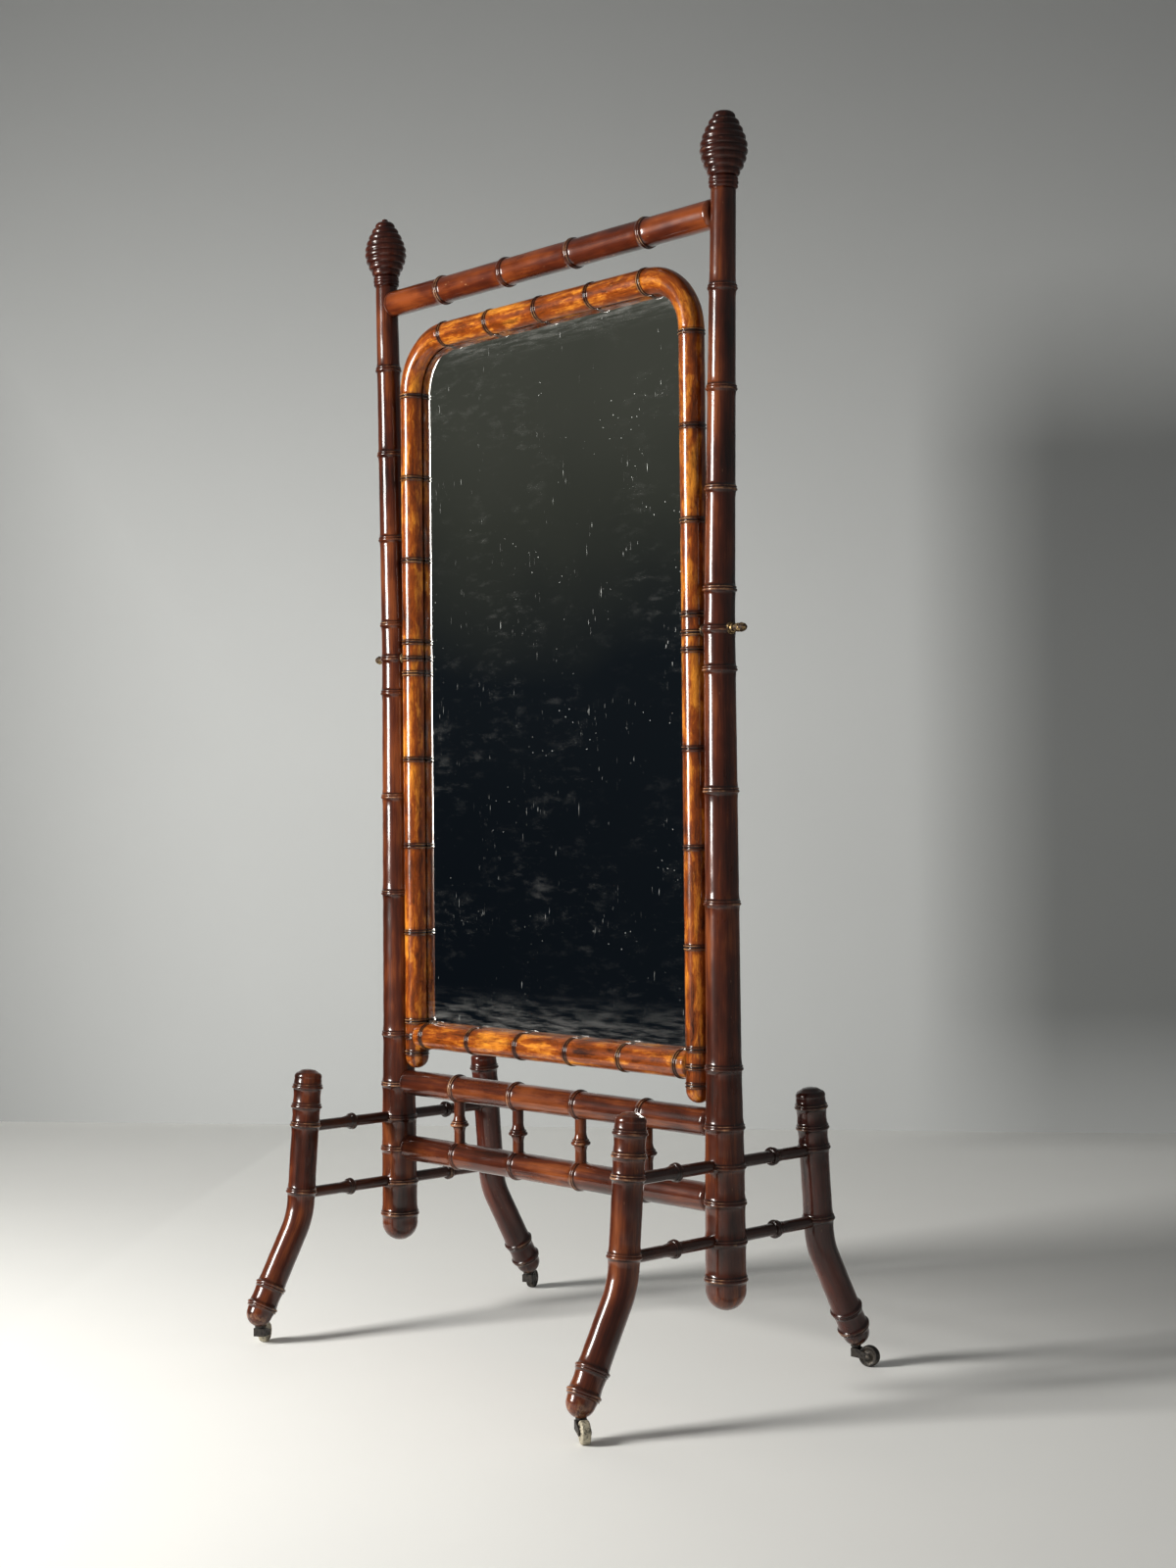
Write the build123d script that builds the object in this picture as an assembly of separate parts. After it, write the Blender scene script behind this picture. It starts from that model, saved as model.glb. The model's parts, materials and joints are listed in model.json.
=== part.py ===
from build123d import *
import math
import os

# A cheval mirror in turned mahogany made to look like bamboo, in millimetres.
# Origin on the floor under the middle of the stand. +X is to the mirror's right,
# -Y is the side that the glass faces, +Z is up.

# Stand posts: plumb up to the pivot, leaning outwards above it
POST_X = 366.5
PIVOT_Z = 1076.0
POST_LEAN = 1.5
POST_FOOT_Z = 125.0
POST_TOP_Z = 1692.0
POST_RINGS = [169.5, 221.5, 275.5, 326.0, 380.5, 462.5, 692.5, 850.0, 1020.0, PIVOT_Z]
POST_RINGS_ABOVE_PIVOT = [1132.0, 1272.5, 1413.0, 1553.5]
POST_FOOT_R = 29.0
POST_LOW_R = 27.9
POST_KNEE_R = 25.2
POST_PIVOT_R = 22.3
POST_TOP_R = 18.0
POST_KNEE_Z = 462.5

# Bamboo rings on the stand: a broad bead with a fine one above it, on a flared stem
RING_HALF = 4.0
RING_PROUD = 1.8
FINE_BEAD_PROUD = 1.1
FLARE_LENGTH = 9.0
FLARE_PROUD = 0.7

# Finials: a ribbed ovoid over a beaded collar, dowelled into the post
FINIAL_SEAT_R = 18.8
FINIAL_COLLAR_STEPS = [19.5, 20.1, 18.5]
FINIAL_COLLAR_PROUD = 1.6
FINIAL_NECK_R = 17.0
FINIAL_WIDEST = 0.42
FINIAL_RIBS = 9
FINIAL_BASE_Z = 1708.0
FINIAL_CROWN_Z = 1799.0
FINIAL_MAX_R = 31.4
FINIAL_FULLNESS = 1.65
FINIAL_CROWN_R = 9.0
FINIAL_RIB_PROUD = 3.2
FINIAL_BUTTON_R = 5.0
FINIAL_BUTTON_HEIGHT = 6.0
FINIAL_DOWEL_R = 8.0
FINIAL_DOWEL_LENGTH = 20.0

# Rails between the posts
TOP_RAIL_Z = 1660.0
TOP_RAIL_R = 21.0
TOP_RAIL_RINGS = [-231.0, -77.0, 77.0, 231.0]
UPPER_STRETCHER_Z = 384.0
LOWER_STRETCHER_Z = 278.0
STRETCHER_R = 20.4
STRETCHER_RINGS = [-212.0, -71.0, 71.0, 212.0]
SHOULDER_LENGTH = 9.0
SHOULDER_DROP = 5.0
SHOULDER_PROUD = 1.5
SHOULDER_COPE = 5.0
RAIL_TENON_R = 8.0
RAIL_TENON_LENGTH = 24.0

# Small gallery spindles between the two stretchers: a bold ring between two hollow flares
SPINDLE_R = 8.7
SPINDLE_FLARE_R = 11.3
SPINDLE_FLARE_LENGTH = 17.0
SPINDLE_RING_R = 15.3
SPINDLE_RING_Z = 328.5
SPINDLE_COPE = 3.0
SPINDLE_TENON_R = 5.0
SPINDLE_TENON_LENGTH = 10.0

# Legs: a nearly upright upper part, one bend and a splayed lower part
LEG_BEND = (199.3, 189.9)
LEG_UPPER_LEAN = 4.6
LEG_LOWER_LEAN = 29.0
LEG_BEND_R = 110.0
LEG_R = 21.6
LEG_RING_PROUD = 2.2
LEG_UPPER_RINGS_Z = [228.5, 332.2, 361.4, 391.7]
LEG_TOP_Z = 419.0
LEG_TOP_ROUND = 14.0
LEG_TOP_FLAT = 5.0
LEG_LOWER_RINGS_Z = [86.5, 57.8]
LEG_TOE_Z = 28.5
LEG_TOE_R = 20.5

# Rods that tie each leg to its post: a bold ring, with a hollow flare on the leg's side
ROD_UPPER_Z = 328.0
ROD_LOWER_Z = 224.0
ROD_R = 8.9
ROD_FLARE_R = 11.2
ROD_FLARE_LENGTH = 22.0
ROD_RING_R = 14.3
RING_BAND_HALF = 4.5
HOLLOW = 1.0
ROD_COPE_POST = 3.0
ROD_COPE_LEG = 4.0
ROD_TENON_R = 5.5
ROD_TENON_LENGTH = 13.0

# Swinging frame: round mouldings with a stepped rebate at the back
STILE_X = 318.0
STILE_R = 18.8
STILE_TIP = -667.0
STILE_RINGS = [-641.5, -615.5, -590.5, -447.0, -306.5, -166.5, -27.0, -3.0, 23.5, 156.5, 290.0, 424.5]
FRAME_TOP = 513.0
FRAME_BOTTOM = -614.0
FRAME_TOP_R = 19.4
FRAME_BOTTOM_R = 20.4
FRAME_TOP_RINGS = [-229.0, -115.5, 0.0, 115.5, 229.0]
FRAME_BOTTOM_RINGS = [-287.0, -171.5, -57.0, 57.0, 171.5, 287.0]
CORNER_R = 85.0
FRAME_BEAD_WIDTH = 2.3
FRAME_BEAD_GAP = 2.3
FRAME_BEAD_PROUD = 1.2
FRAME_COPE = 6.0
FRAME_DOWEL_R = 5.5
FRAME_DOWEL_LENGTH = 18.0

# Glass and back, as insets from the frame's centre line and depths along +Y
GLASS_FRONT_Y = 7.0
GLASS_THICKNESS = 5.0
GLASS_POCKET_INSET = 11.5
GLASS_EDGE_GAP = 3.0
BEVEL_WIDTH = 15.0
BEVEL_DEPTH = 1.2
BOARD_POCKET_INSET = 3.0
BOARD_GAP = 0.5
BOARD_THICKNESS = 6.0
BOARD_POCKET_DEPTH = 20.0
BLOCK_LENGTH = 25.0
BLOCK_PLAY = 0.4
BLOCK_HEIGHTS = [-520.0, -240.0, 40.0, 320.0]
BLOCK_OFFSETS = [-180.0, 180.0]
SCREW_INSET = 7.5
SCREW_HEAD_R = 2.9
SCREW_HEAD_RIM = 0.4
SCREW_HEAD_DEPTH = 2.0
SCREW_SHANK_R = 1.5
SCREW_POINT = 3.0
SCREW_LENGTH = 15.0
SCREW_HEIGHTS = [-540.0, -300.0, -60.0, 180.0, 410.0]
SCREW_OFFSETS = [-150.0, 150.0]

# Pivots: a brass bush in each post, a brass plate in each stile, a steel shaft through
# both, and a turned brass knob on the shaft's outer end
SHAFT_R = 4.0
SHAFT_CLEARANCE = 0.05
SHAFT_CHAMFER = 1.0
SHAFT_IN_KNOB = 10.0
SHAFT_END_R = 2.5
BUSH_R = 6.5
BUSH_FLANGE_R = 9.0
BUSH_INNER_X = 340.2
BUSH_OUTER_X = 391.8
BUSH_FLANGE = 4.0
PLATE_R = 9.0
PLATE_THICKNESS = 2.5
PLATE_FACE_X = 338.8
PLATE_BOSS_R = 6.0
PLATE_BOSS_LENGTH = 18.0
PLATE_SCREW_OFFSET = 7.2
PLATE_SCREW_R = 1.0
PLATE_SCREW_HEAD_R = 1.7
PLATE_SCREW_HEAD_DEPTH = 1.2
PLATE_SCREW_POINT = 2.0
PLATE_SCREW_LENGTH = 9.0
SHAFT_TIP_X = 322.0
KNOB_START_X = 392.2
KNOB_LENGTH = 26.5
# Each step of the knob: radius, distance from its base, and how far it bulges on the way
KNOB_STEPS = [
    (5.0, 4.0, 1.0), (4.4, 6.0, 0.0), (5.0, 14.0, 1.6), (6.4, 15.0, 0.0), (6.0, 18.0, 0.6), (2.6, 24.5, 1.0),
]
KNOB_BASE_R = 6.8

# Casters: collar and sleeve in the toe, swivelling horn, axle pin, wheel
WHEEL_R = 15.5
WHEEL_WIDTH = 12.0
WHEEL_RECESS = 1.2
WHEEL_HUB_R = 5.5
WHEEL_RIM_R = 12.0
WHEEL_STEP = 1.0
TREAD_ROUND = 1.4
TREAD_ROUND_WIDTH = 2.2
TREAD_PROUD = 0.35
TRAIL = 21.5
AXLE_R = 2.0
AXLE_HEAD_R = 3.0
AXLE_HEAD = 1.0
CHEEK_GAP = 0.5
CHEEK_THICKNESS = 2.0
CHEEK_EYE_R = 4.4
HORN_BLOCK_HALF = 4.5
HORN_BOTTOM_Z = 13.5
HORN_TOP_Z = 26.0
PINTLE_R = 3.0
PINTLE_TOP_Z = 56.0
COLLAR_R = 7.5
COLLAR_BOTTOM_Z = 26.6
COLLAR_TOP_Z = 30.5
SLEEVE_R = 5.5
SLEEVE_TOP_Z = 60.0
CASTER_HEADINGS = {"front_left": 124.0, "front_right": -31.0, "back_left": 118.0, "back_right": 16.0}

SIDES = {"left": -1, "right": 1}
ENDS = {"front": -1, "back": 1}


class Profile:
    """Half outline of a turned piece, drawn from its foot upwards."""

    def __init__(self, radius, height):
        self.edges = []
        self.start = (radius, height)
        self.here = (radius, height)

    def line(self, radius, height):
        self.edges.append(Line((self.here[0], 0, self.here[1]), (radius, 0, height)))
        self.here = (radius, height)
        return self

    def arc(self, middle, radius, height):
        begin = (self.here[0], 0, self.here[1])
        self.edges.append(ThreePointArc(begin, (middle[0], 0, middle[1]), (radius, 0, height)))
        self.here = (radius, height)
        return self

    def bead(self, radius, height, proud):
        """A convex bead from here to a height, standing proud in its middle."""
        r, z = self.here
        dr, dz = radius - r, height - z
        span = math.hypot(dr, dz)
        middle = ((r + radius) / 2 + proud * dz / span, (z + height) / 2 - proud * dr / span)
        return self.arc(middle, radius, height)

    def cap(self, height):
        """A spherical cap that closes the outline on the axis at a height."""
        r, z = self.here
        rise = height - z
        ball = (rise ** 2 + r ** 2) / (2 * abs(rise))
        half = math.asin(min(1.0, r / ball)) / 2
        drop = math.copysign(ball * (1 - math.cos(half)), rise)
        return self.arc((ball * math.sin(half), height - drop), 0, height)

    def ring(self, height, proud=RING_PROUD):
        """A bamboo ring: broad bead below, fine bead above."""
        r = self.here[0]
        self.bead(r + 0.3, height + 0.3 * RING_HALF, proud)
        self.bead(r, height + RING_HALF, FINE_BEAD_PROUD)
        return self

    def twin_bead(self, height):
        """Two thin beads with a flat between them."""
        r = self.here[0]
        half_gap = FRAME_BEAD_GAP / 2
        self.bead(r, height - half_gap, FRAME_BEAD_PROUD)
        self.line(r, height + half_gap)
        self.bead(r, height + half_gap + FRAME_BEAD_WIDTH, FRAME_BEAD_PROUD)
        return self

    def solid(self):
        foot, top = self.start, self.here
        edges = list(self.edges)
        if top[0] > 0:
            edges.append(Line((top[0], 0, top[1]), (0, 0, top[1])))
        edges.append(Line((0, 0, top[1]), (0, 0, foot[1])))
        if foot[0] > 0:
            edges.append(Line((0, 0, foot[1]), (foot[0], 0, foot[1])))
        return revolve(make_face(Wire(edges)), Axis.Z, 360)


def stem(profile, ring_heights, radius_at, end, draw_ring, ring_half):
    """Carries a profile over its rings, flaring at each, and on to a plain end."""
    for height in ring_heights:
        low, high = height - ring_half, height + ring_half
        if low - FLARE_LENGTH > profile.here[1]:
            profile.line(radius_at(low - FLARE_LENGTH), low - FLARE_LENGTH)
        profile.line(radius_at(low) + FLARE_PROUD, low)
        draw_ring(height)
        if end > high + FLARE_LENGTH:
            profile.line(radius_at(high + FLARE_LENGTH), high + FLARE_LENGTH)
    if end > profile.here[1]:
        profile.line(radius_at(end), end)
    return profile


def rod_between(start, direction, radius, length):
    """A plain cylinder from a point along a direction."""
    plane = Plane(origin=start, z_dir=direction)
    return plane * Cylinder(radius, length, align=(Align.CENTER, Align.CENTER, Align.MIN))


def lay_along_x(piece):
    """Turns a piece drawn along +Z so that it runs along +X."""
    return Rot(0, 90, 0) * piece


def lay_along_y(piece):
    """Turns a piece drawn along +Z so that it runs along +Y."""
    return Rot(-90, 0, 0) * piece


# Posts and finials

def post_radius(height):
    """The post's slow taper from its foot to its top."""
    if height < POST_RINGS[3]:
        share = (height - POST_FOOT_Z) / (POST_RINGS[3] - POST_FOOT_Z)
        return POST_FOOT_R + share * (POST_LOW_R - POST_FOOT_R)
    if height < POST_KNEE_Z:
        share = (height - POST_RINGS[3]) / (POST_KNEE_Z - POST_RINGS[3])
        return POST_LOW_R + share * (POST_KNEE_R - POST_LOW_R)
    if height < PIVOT_Z:
        share = (height - POST_KNEE_Z) / (PIVOT_Z - POST_KNEE_Z)
        return POST_KNEE_R + share * (POST_PIVOT_R - POST_KNEE_R)
    share = (height - PIVOT_Z) / (POST_TOP_Z - PIVOT_Z)
    return POST_PIVOT_R + share * (POST_TOP_R - POST_PIVOT_R)


def leaning(piece, side):
    """Leans a piece drawn on the Z axis outwards about the pivot, and moves it to its post."""
    at_pivot = Pos(0, 0, PIVOT_Z) * Rot(0, side * POST_LEAN, 0) * Pos(0, 0, -PIVOT_Z)
    return Pos(side * POST_X, 0, 0) * (at_pivot * piece)


def post_axis_x(height):
    """How far the post's axis stands from the middle at a height."""
    return POST_X + max(0.0, height - PIVOT_Z) * math.tan(math.radians(POST_LEAN))


def post_blank(side):
    """One post with no mortises."""
    dome = POST_FOOT_R * math.sin(math.radians(45))
    lower = Profile(0, POST_FOOT_Z)
    lower.arc((dome, POST_FOOT_Z + POST_FOOT_R - dome), POST_FOOT_R, POST_FOOT_Z + POST_FOOT_R)
    stem(lower, POST_RINGS, post_radius, PIVOT_Z + RING_HALF, lower.ring, RING_HALF)
    upper = Profile(post_radius(PIVOT_Z), PIVOT_Z - 1)
    upper.line(post_radius(PIVOT_Z) + FLARE_PROUD / 2, PIVOT_Z + RING_HALF)
    upper.line(post_radius(PIVOT_Z + FLARE_LENGTH), PIVOT_Z + RING_HALF + FLARE_LENGTH)
    stem(upper, POST_RINGS_ABOVE_PIVOT, post_radius, POST_TOP_Z, upper.ring, RING_HALF)
    return Pos(side * POST_X, 0, 0) * lower.solid() + leaning(upper.solid(), side)


def finial_radius(height):
    """The egg under the ribs: one curve below its widest point, a longer one above."""
    widest = FINIAL_BASE_Z + FINIAL_WIDEST * (FINIAL_CROWN_Z - FINIAL_BASE_Z)
    if height < widest:
        share = (widest - height) / (widest - FINIAL_BASE_Z)
        return FINIAL_NECK_R + (FINIAL_MAX_R - FINIAL_NECK_R) * (1 - share ** FINIAL_FULLNESS)
    share = (height - widest) / (FINIAL_CROWN_Z - widest)
    return FINIAL_CROWN_R + (FINIAL_MAX_R - FINIAL_CROWN_R) * (1 - share ** FINIAL_FULLNESS)


def finial(side, button):
    """One finial with its collar and dowel. One has lost the small button on its crown."""
    shape = Profile(FINIAL_DOWEL_R, POST_TOP_Z - FINIAL_DOWEL_LENGTH)
    shape.line(FINIAL_DOWEL_R, POST_TOP_Z)
    shape.line(FINIAL_SEAT_R, POST_TOP_Z)
    bead_height = (FINIAL_BASE_Z - POST_TOP_Z) / len(FINIAL_COLLAR_STEPS)
    for level, radius in enumerate(FINIAL_COLLAR_STEPS, 1):
        shape.bead(radius, POST_TOP_Z + level * bead_height, FINIAL_COLLAR_PROUD)
    shape.line(FINIAL_NECK_R, FINIAL_BASE_Z)
    rib = (FINIAL_CROWN_Z - FINIAL_BASE_Z) / FINIAL_RIBS
    for level in range(1, FINIAL_RIBS + 1):
        height = FINIAL_BASE_Z + level * rib
        shape.bead(finial_radius(height), height, FINIAL_RIB_PROUD)
    if button:
        shape.line(FINIAL_BUTTON_R, FINIAL_CROWN_Z)
        shape.line(FINIAL_BUTTON_R, FINIAL_CROWN_Z + FINIAL_BUTTON_HEIGHT - FINIAL_BUTTON_R / 2)
        shape.cap(FINIAL_CROWN_Z + FINIAL_BUTTON_HEIGHT)
    return leaning(shape.solid(), side)


# Rails, stretchers and spindles

def rail(half_length, radius, rings, tenon_end):
    """A turned rail along X with rounded shoulders and a tenon at each end."""
    shoulder = radius - SHOULDER_DROP
    shape = Profile(shoulder, -half_length)
    shape.bead(radius, -half_length + SHOULDER_LENGTH, SHOULDER_PROUD)
    stem(shape, rings, lambda height: radius, half_length - SHOULDER_LENGTH, shape.ring, RING_HALF)
    shape.bead(shoulder, half_length, SHOULDER_PROUD)
    tenon = Cylinder(RAIL_TENON_R, 2 * tenon_end)
    return lay_along_x(shape.solid()), lay_along_x(tenon)


def fitted_rail(height, radius, rings, posts):
    """A rail whose shoulders are coped to the posts, with its tenons."""
    reach = post_axis_x(height) - post_radius(height) + SHOULDER_COPE
    tenon_end = post_axis_x(height) - post_radius(height) + RAIL_TENON_LENGTH
    body, tenon = rail(reach, radius, rings, tenon_end)
    body = Pos(0, 0, height) * body
    for blank in posts.values():
        body = body - blank
    tenon = Pos(0, 0, height) * tenon
    return body + tenon, tenon


def spindle(x, stretchers):
    """A gallery spindle: thin ends, two hollow flares and a bold ring, tenoned at both ends."""
    low = LOWER_STRETCHER_Z + STRETCHER_R - SPINDLE_COPE
    high = UPPER_STRETCHER_Z - STRETCHER_R + SPINDLE_COPE
    shape = Profile(SPINDLE_R, low)
    shape.line(SPINDLE_R, SPINDLE_RING_Z - SPINDLE_FLARE_LENGTH)
    shape.bead(SPINDLE_FLARE_R, SPINDLE_RING_Z - RING_BAND_HALF, -HOLLOW)
    shape.bead(SPINDLE_FLARE_R, SPINDLE_RING_Z + RING_BAND_HALF, SPINDLE_RING_R - SPINDLE_FLARE_R)
    shape.bead(SPINDLE_R, SPINDLE_RING_Z + SPINDLE_FLARE_LENGTH, -HOLLOW)
    shape.line(SPINDLE_R, high)
    body = Pos(x, 0, 0) * shape.solid()
    for stretcher in stretchers:
        body = body - stretcher
    bottom = low - SPINDLE_TENON_LENGTH
    tenon = rod_between((x, 0, bottom), (0, 0, 1), SPINDLE_TENON_R, high - low + 2 * SPINDLE_TENON_LENGTH)
    return body + tenon, tenon


# Legs and rods

def leg_direction(lean):
    """Unit vector down a leg in the plane of its bend, for a leg that splays towards +Y."""
    return (0, math.sin(math.radians(lean)), -math.cos(math.radians(lean)))


def along_upper(height):
    """Distance up the upper leg from the bend's corner to a height."""
    return (height - LEG_BEND[1]) / math.cos(math.radians(LEG_UPPER_LEAN))


def along_lower(height):
    """Distance down the lower leg from the bend's corner to a height."""
    return (LEG_BEND[1] - height) / math.cos(math.radians(LEG_LOWER_LEAN))


def toe_centre():
    """Centre of the rounded toe, in the plane of the bend."""
    height = LEG_TOE_Z + LEG_TOE_R
    drop = (LEG_BEND[1] - height) * math.tan(math.radians(LEG_LOWER_LEAN))
    return LEG_BEND[0] + drop, height


def leg_axis_y(height):
    """How far the upper leg's axis stands from the post's at a height."""
    return LEG_BEND[0] - (height - LEG_BEND[1]) * math.tan(math.radians(LEG_UPPER_LEAN))


def leg_blank():
    """One leg at x = 0 that splays towards +Y, with no mortises."""
    turn = math.radians(LEG_LOWER_LEAN - LEG_UPPER_LEAN)
    tangent = LEG_BEND_R * math.tan(turn / 2)
    corner = (0, LEG_BEND[0], LEG_BEND[1])
    top = along_upper(LEG_TOP_Z)

    def leg_ring(profile):
        return lambda height: profile.ring(height, LEG_RING_PROUD)

    upper = Profile(LEG_R, tangent)
    rings = [along_upper(z) for z in LEG_UPPER_RINGS_Z]
    stem(upper, rings, lambda height: LEG_R, top - LEG_TOP_ROUND, leg_ring(upper), RING_HALF)
    upper.bead(LEG_R - LEG_TOP_FLAT, top - LEG_TOP_FLAT, LEG_RING_PROUD)
    upper.cap(top)
    up = tuple(-c for c in leg_direction(LEG_UPPER_LEAN))
    upper_solid = Plane(origin=corner, x_dir=(1, 0, 0), z_dir=up) * upper.solid()

    lower = Profile(LEG_R, tangent)
    rings = [along_lower(z) for z in LEG_LOWER_RINGS_Z]
    centre = along_lower(LEG_TOE_Z + LEG_TOE_R)
    stem(lower, rings, lambda height: LEG_R, rings[-1] + RING_HALF, leg_ring(lower), RING_HALF)
    lower.line(LEG_TOE_R, centre)
    lower.cap(centre + LEG_TOE_R)
    lower_solid = Plane(origin=corner, x_dir=(1, 0, 0), z_dir=leg_direction(LEG_LOWER_LEAN)) * lower.solid()

    down = Vector(leg_direction(LEG_UPPER_LEAN))
    start = Vector(corner) - down * tangent
    outward = Vector(0, math.cos(math.radians(LEG_UPPER_LEAN)), math.sin(math.radians(LEG_UPPER_LEAN)))
    hub = start + outward * LEG_BEND_R
    section = Plane(origin=start, x_dir=(1, 0, 0), z_dir=down) * Circle(LEG_R)
    bend = revolve(section, Axis(hub, (1, 0, 0)), math.degrees(turn))
    return upper_solid + bend + lower_solid


def rod(height):
    """A rod at x = 0 from the post to a leg that splays towards +Y, and its tenons."""
    inner = post_radius(height) - ROD_COPE_POST
    outer = leg_axis_y(height) - LEG_R + ROD_COPE_LEG
    middle = (inner + outer) / 2
    shape = Profile(ROD_R, inner)
    shape.line(ROD_R, middle - RING_BAND_HALF)
    shape.bead(ROD_FLARE_R, middle + RING_BAND_HALF, ROD_RING_R - ROD_FLARE_R)
    shape.bead(ROD_R, middle + RING_BAND_HALF + ROD_FLARE_LENGTH, -HOLLOW)
    shape.line(ROD_R, outer)
    body = Pos(0, 0, height) * lay_along_y(shape.solid())
    start = (0, inner - ROD_TENON_LENGTH, height)
    tenon = rod_between(start, (0, 1, 0), ROD_TENON_R, outer - inner + 2 * ROD_TENON_LENGTH)
    return body, tenon


# Swinging frame, drawn about the pivot with z = 0 on its axis

def outline(inset):
    """The frame's centre line brought in by an inset, rounded at its two top corners."""
    half = STILE_X - inset
    low, high = FRAME_BOTTOM + inset, FRAME_TOP - inset
    sheet = Pos(0, (low + high) / 2) * Rectangle(2 * half, high - low)
    corners = sheet.vertices().sort_by(Axis.Y)[-2:]
    return fillet(corners, CORNER_R - inset)


def slab(inset, front, back):
    """The outline at an inset, filled from one depth to another along +Y."""
    return Pos(0, front, 0) * extrude(Plane.XZ * outline(inset), -(back - front))


def rebate():
    """The stepped space behind the mouldings for the glass and the backboard."""
    board_front = GLASS_FRONT_Y + GLASS_THICKNESS
    glass_space = slab(GLASS_POCKET_INSET, GLASS_FRONT_Y, board_front)
    board_space = slab(BOARD_POCKET_INSET, board_front, board_front + BOARD_POCKET_DEPTH)
    return glass_space + board_space


def stile_blank(side):
    """One stile with its rounded foot, before the rebate and mortises."""
    half = FRAME_BEAD_GAP / 2 + FRAME_BEAD_WIDTH
    shape = Profile(0, STILE_TIP)
    tip = STILE_R * math.sin(math.radians(45))
    shape.arc((tip, STILE_TIP + STILE_R - tip), STILE_R, STILE_TIP + STILE_R)
    for height in STILE_RINGS:
        shape.line(STILE_R, height - half)
        shape.twin_bead(height)
    shape.line(STILE_R, FRAME_TOP - CORNER_R)
    return Pos(side * STILE_X, 0, 0) * shape.solid()


def frame_rail(half_length, radius, rings, height):
    """A rail of the swinging frame along X."""
    half = FRAME_BEAD_GAP / 2 + FRAME_BEAD_WIDTH
    shape = Profile(radius, -half_length)
    for place in rings:
        shape.line(radius, place - half)
        shape.twin_bead(place)
    shape.line(radius, half_length)
    return Pos(0, 0, height) * lay_along_x(shape.solid())


def corner(side):
    """A quarter bend between a stile and the top rail, with a dowel at each end."""
    hub = (side * (STILE_X - CORNER_R), 0, FRAME_TOP - CORNER_R)
    section = Plane(origin=(side * STILE_X, 0, FRAME_TOP - CORNER_R), z_dir=(0, 0, 1)) * Circle(STILE_R)
    bend = revolve(section, Axis(hub, (0, -side, 0)), 90)
    start = (side * STILE_X, 0, FRAME_TOP - CORNER_R)
    down = rod_between(start, (0, 0, -1), FRAME_DOWEL_R, FRAME_DOWEL_LENGTH)
    across = rod_between((hub[0], 0, FRAME_TOP), (-side, 0, 0), FRAME_DOWEL_R, FRAME_DOWEL_LENGTH)
    return bend, down + across


def glass():
    """The silvered plate with a ground bevel round its front."""
    inset = GLASS_POCKET_INSET + GLASS_EDGE_GAP
    back = GLASS_FRONT_Y + GLASS_THICKNESS
    plate = slab(inset, GLASS_FRONT_Y + BEVEL_DEPTH, back)
    rim = Pos(0, GLASS_FRONT_Y + BEVEL_DEPTH, 0) * (Plane.XZ * outline(inset))
    face = Pos(0, GLASS_FRONT_Y, 0) * (Plane.XZ * outline(inset + BEVEL_WIDTH))
    return plate + loft([rim, face], ruled=True)


def block(x, height, width, tall):
    """A softwood block that wedges the glass's edge in its rebate."""
    depth = GLASS_THICKNESS - BLOCK_PLAY
    return Pos(x, GLASS_FRONT_Y + GLASS_THICKNESS / 2, height) * Box(width, depth, tall)


def glass_blocks():
    """Blocks at both sides, the foot and the head of the glass."""
    offset = STILE_X - GLASS_POCKET_INSET - GLASS_EDGE_GAP / 2
    foot = FRAME_BOTTOM + GLASS_POCKET_INSET + GLASS_EDGE_GAP / 2
    head = FRAME_TOP - GLASS_POCKET_INSET - GLASS_EDGE_GAP / 2
    blocks = [block(s * offset, z, GLASS_EDGE_GAP, BLOCK_LENGTH) for s in (-1, 1) for z in BLOCK_HEIGHTS]
    blocks += [block(x, z, BLOCK_LENGTH, GLASS_EDGE_GAP) for x in BLOCK_OFFSETS for z in (foot, head)]
    return blocks


def board_screws():
    """Countersunk wood screws through the backboard's margin, heads flush with its back."""
    back = GLASS_FRONT_Y + GLASS_THICKNESS + BOARD_THICKNESS
    shape = Profile(0, -SCREW_LENGTH).line(SCREW_SHANK_R, -SCREW_LENGTH + SCREW_POINT)
    shape.line(SCREW_SHANK_R, -SCREW_HEAD_DEPTH).line(SCREW_HEAD_R, -SCREW_HEAD_RIM).line(SCREW_HEAD_R, 0)
    screw = lay_along_y(shape.solid())
    side = STILE_X - SCREW_INSET
    places = [(s * side, z) for s in (-1, 1) for z in SCREW_HEIGHTS]
    places += [(x, z) for x in SCREW_OFFSETS for z in (FRAME_BOTTOM + SCREW_INSET, FRAME_TOP - SCREW_INSET)]
    return [Pos(x, back, z) * screw for x, z in places]


# Pivot hardware, drawn for the right side with z = 0 on the axis

def pivot_bush():
    """A flanged brass sleeve through the post."""
    shape = Profile(BUSH_FLANGE_R, BUSH_INNER_X)
    shape.line(BUSH_FLANGE_R, BUSH_INNER_X + BUSH_FLANGE)
    shape.line(BUSH_R, BUSH_INNER_X + BUSH_FLANGE)
    shape.line(BUSH_R, BUSH_OUTER_X - BUSH_FLANGE)
    shape.line(BUSH_FLANGE_R, BUSH_OUTER_X - BUSH_FLANGE)
    shape.line(BUSH_FLANGE_R, BUSH_OUTER_X - 1)
    shape.line(BUSH_FLANGE_R - 1, BUSH_OUTER_X)
    return lay_along_x(shape.solid())


def shaft_bore(start, end):
    """The clear hole that the thumbscrew's shaft turns in."""
    return rod_between((start, 0, 0), (1, 0, 0), SHAFT_R + SHAFT_CLEARANCE, end - start)


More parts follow.
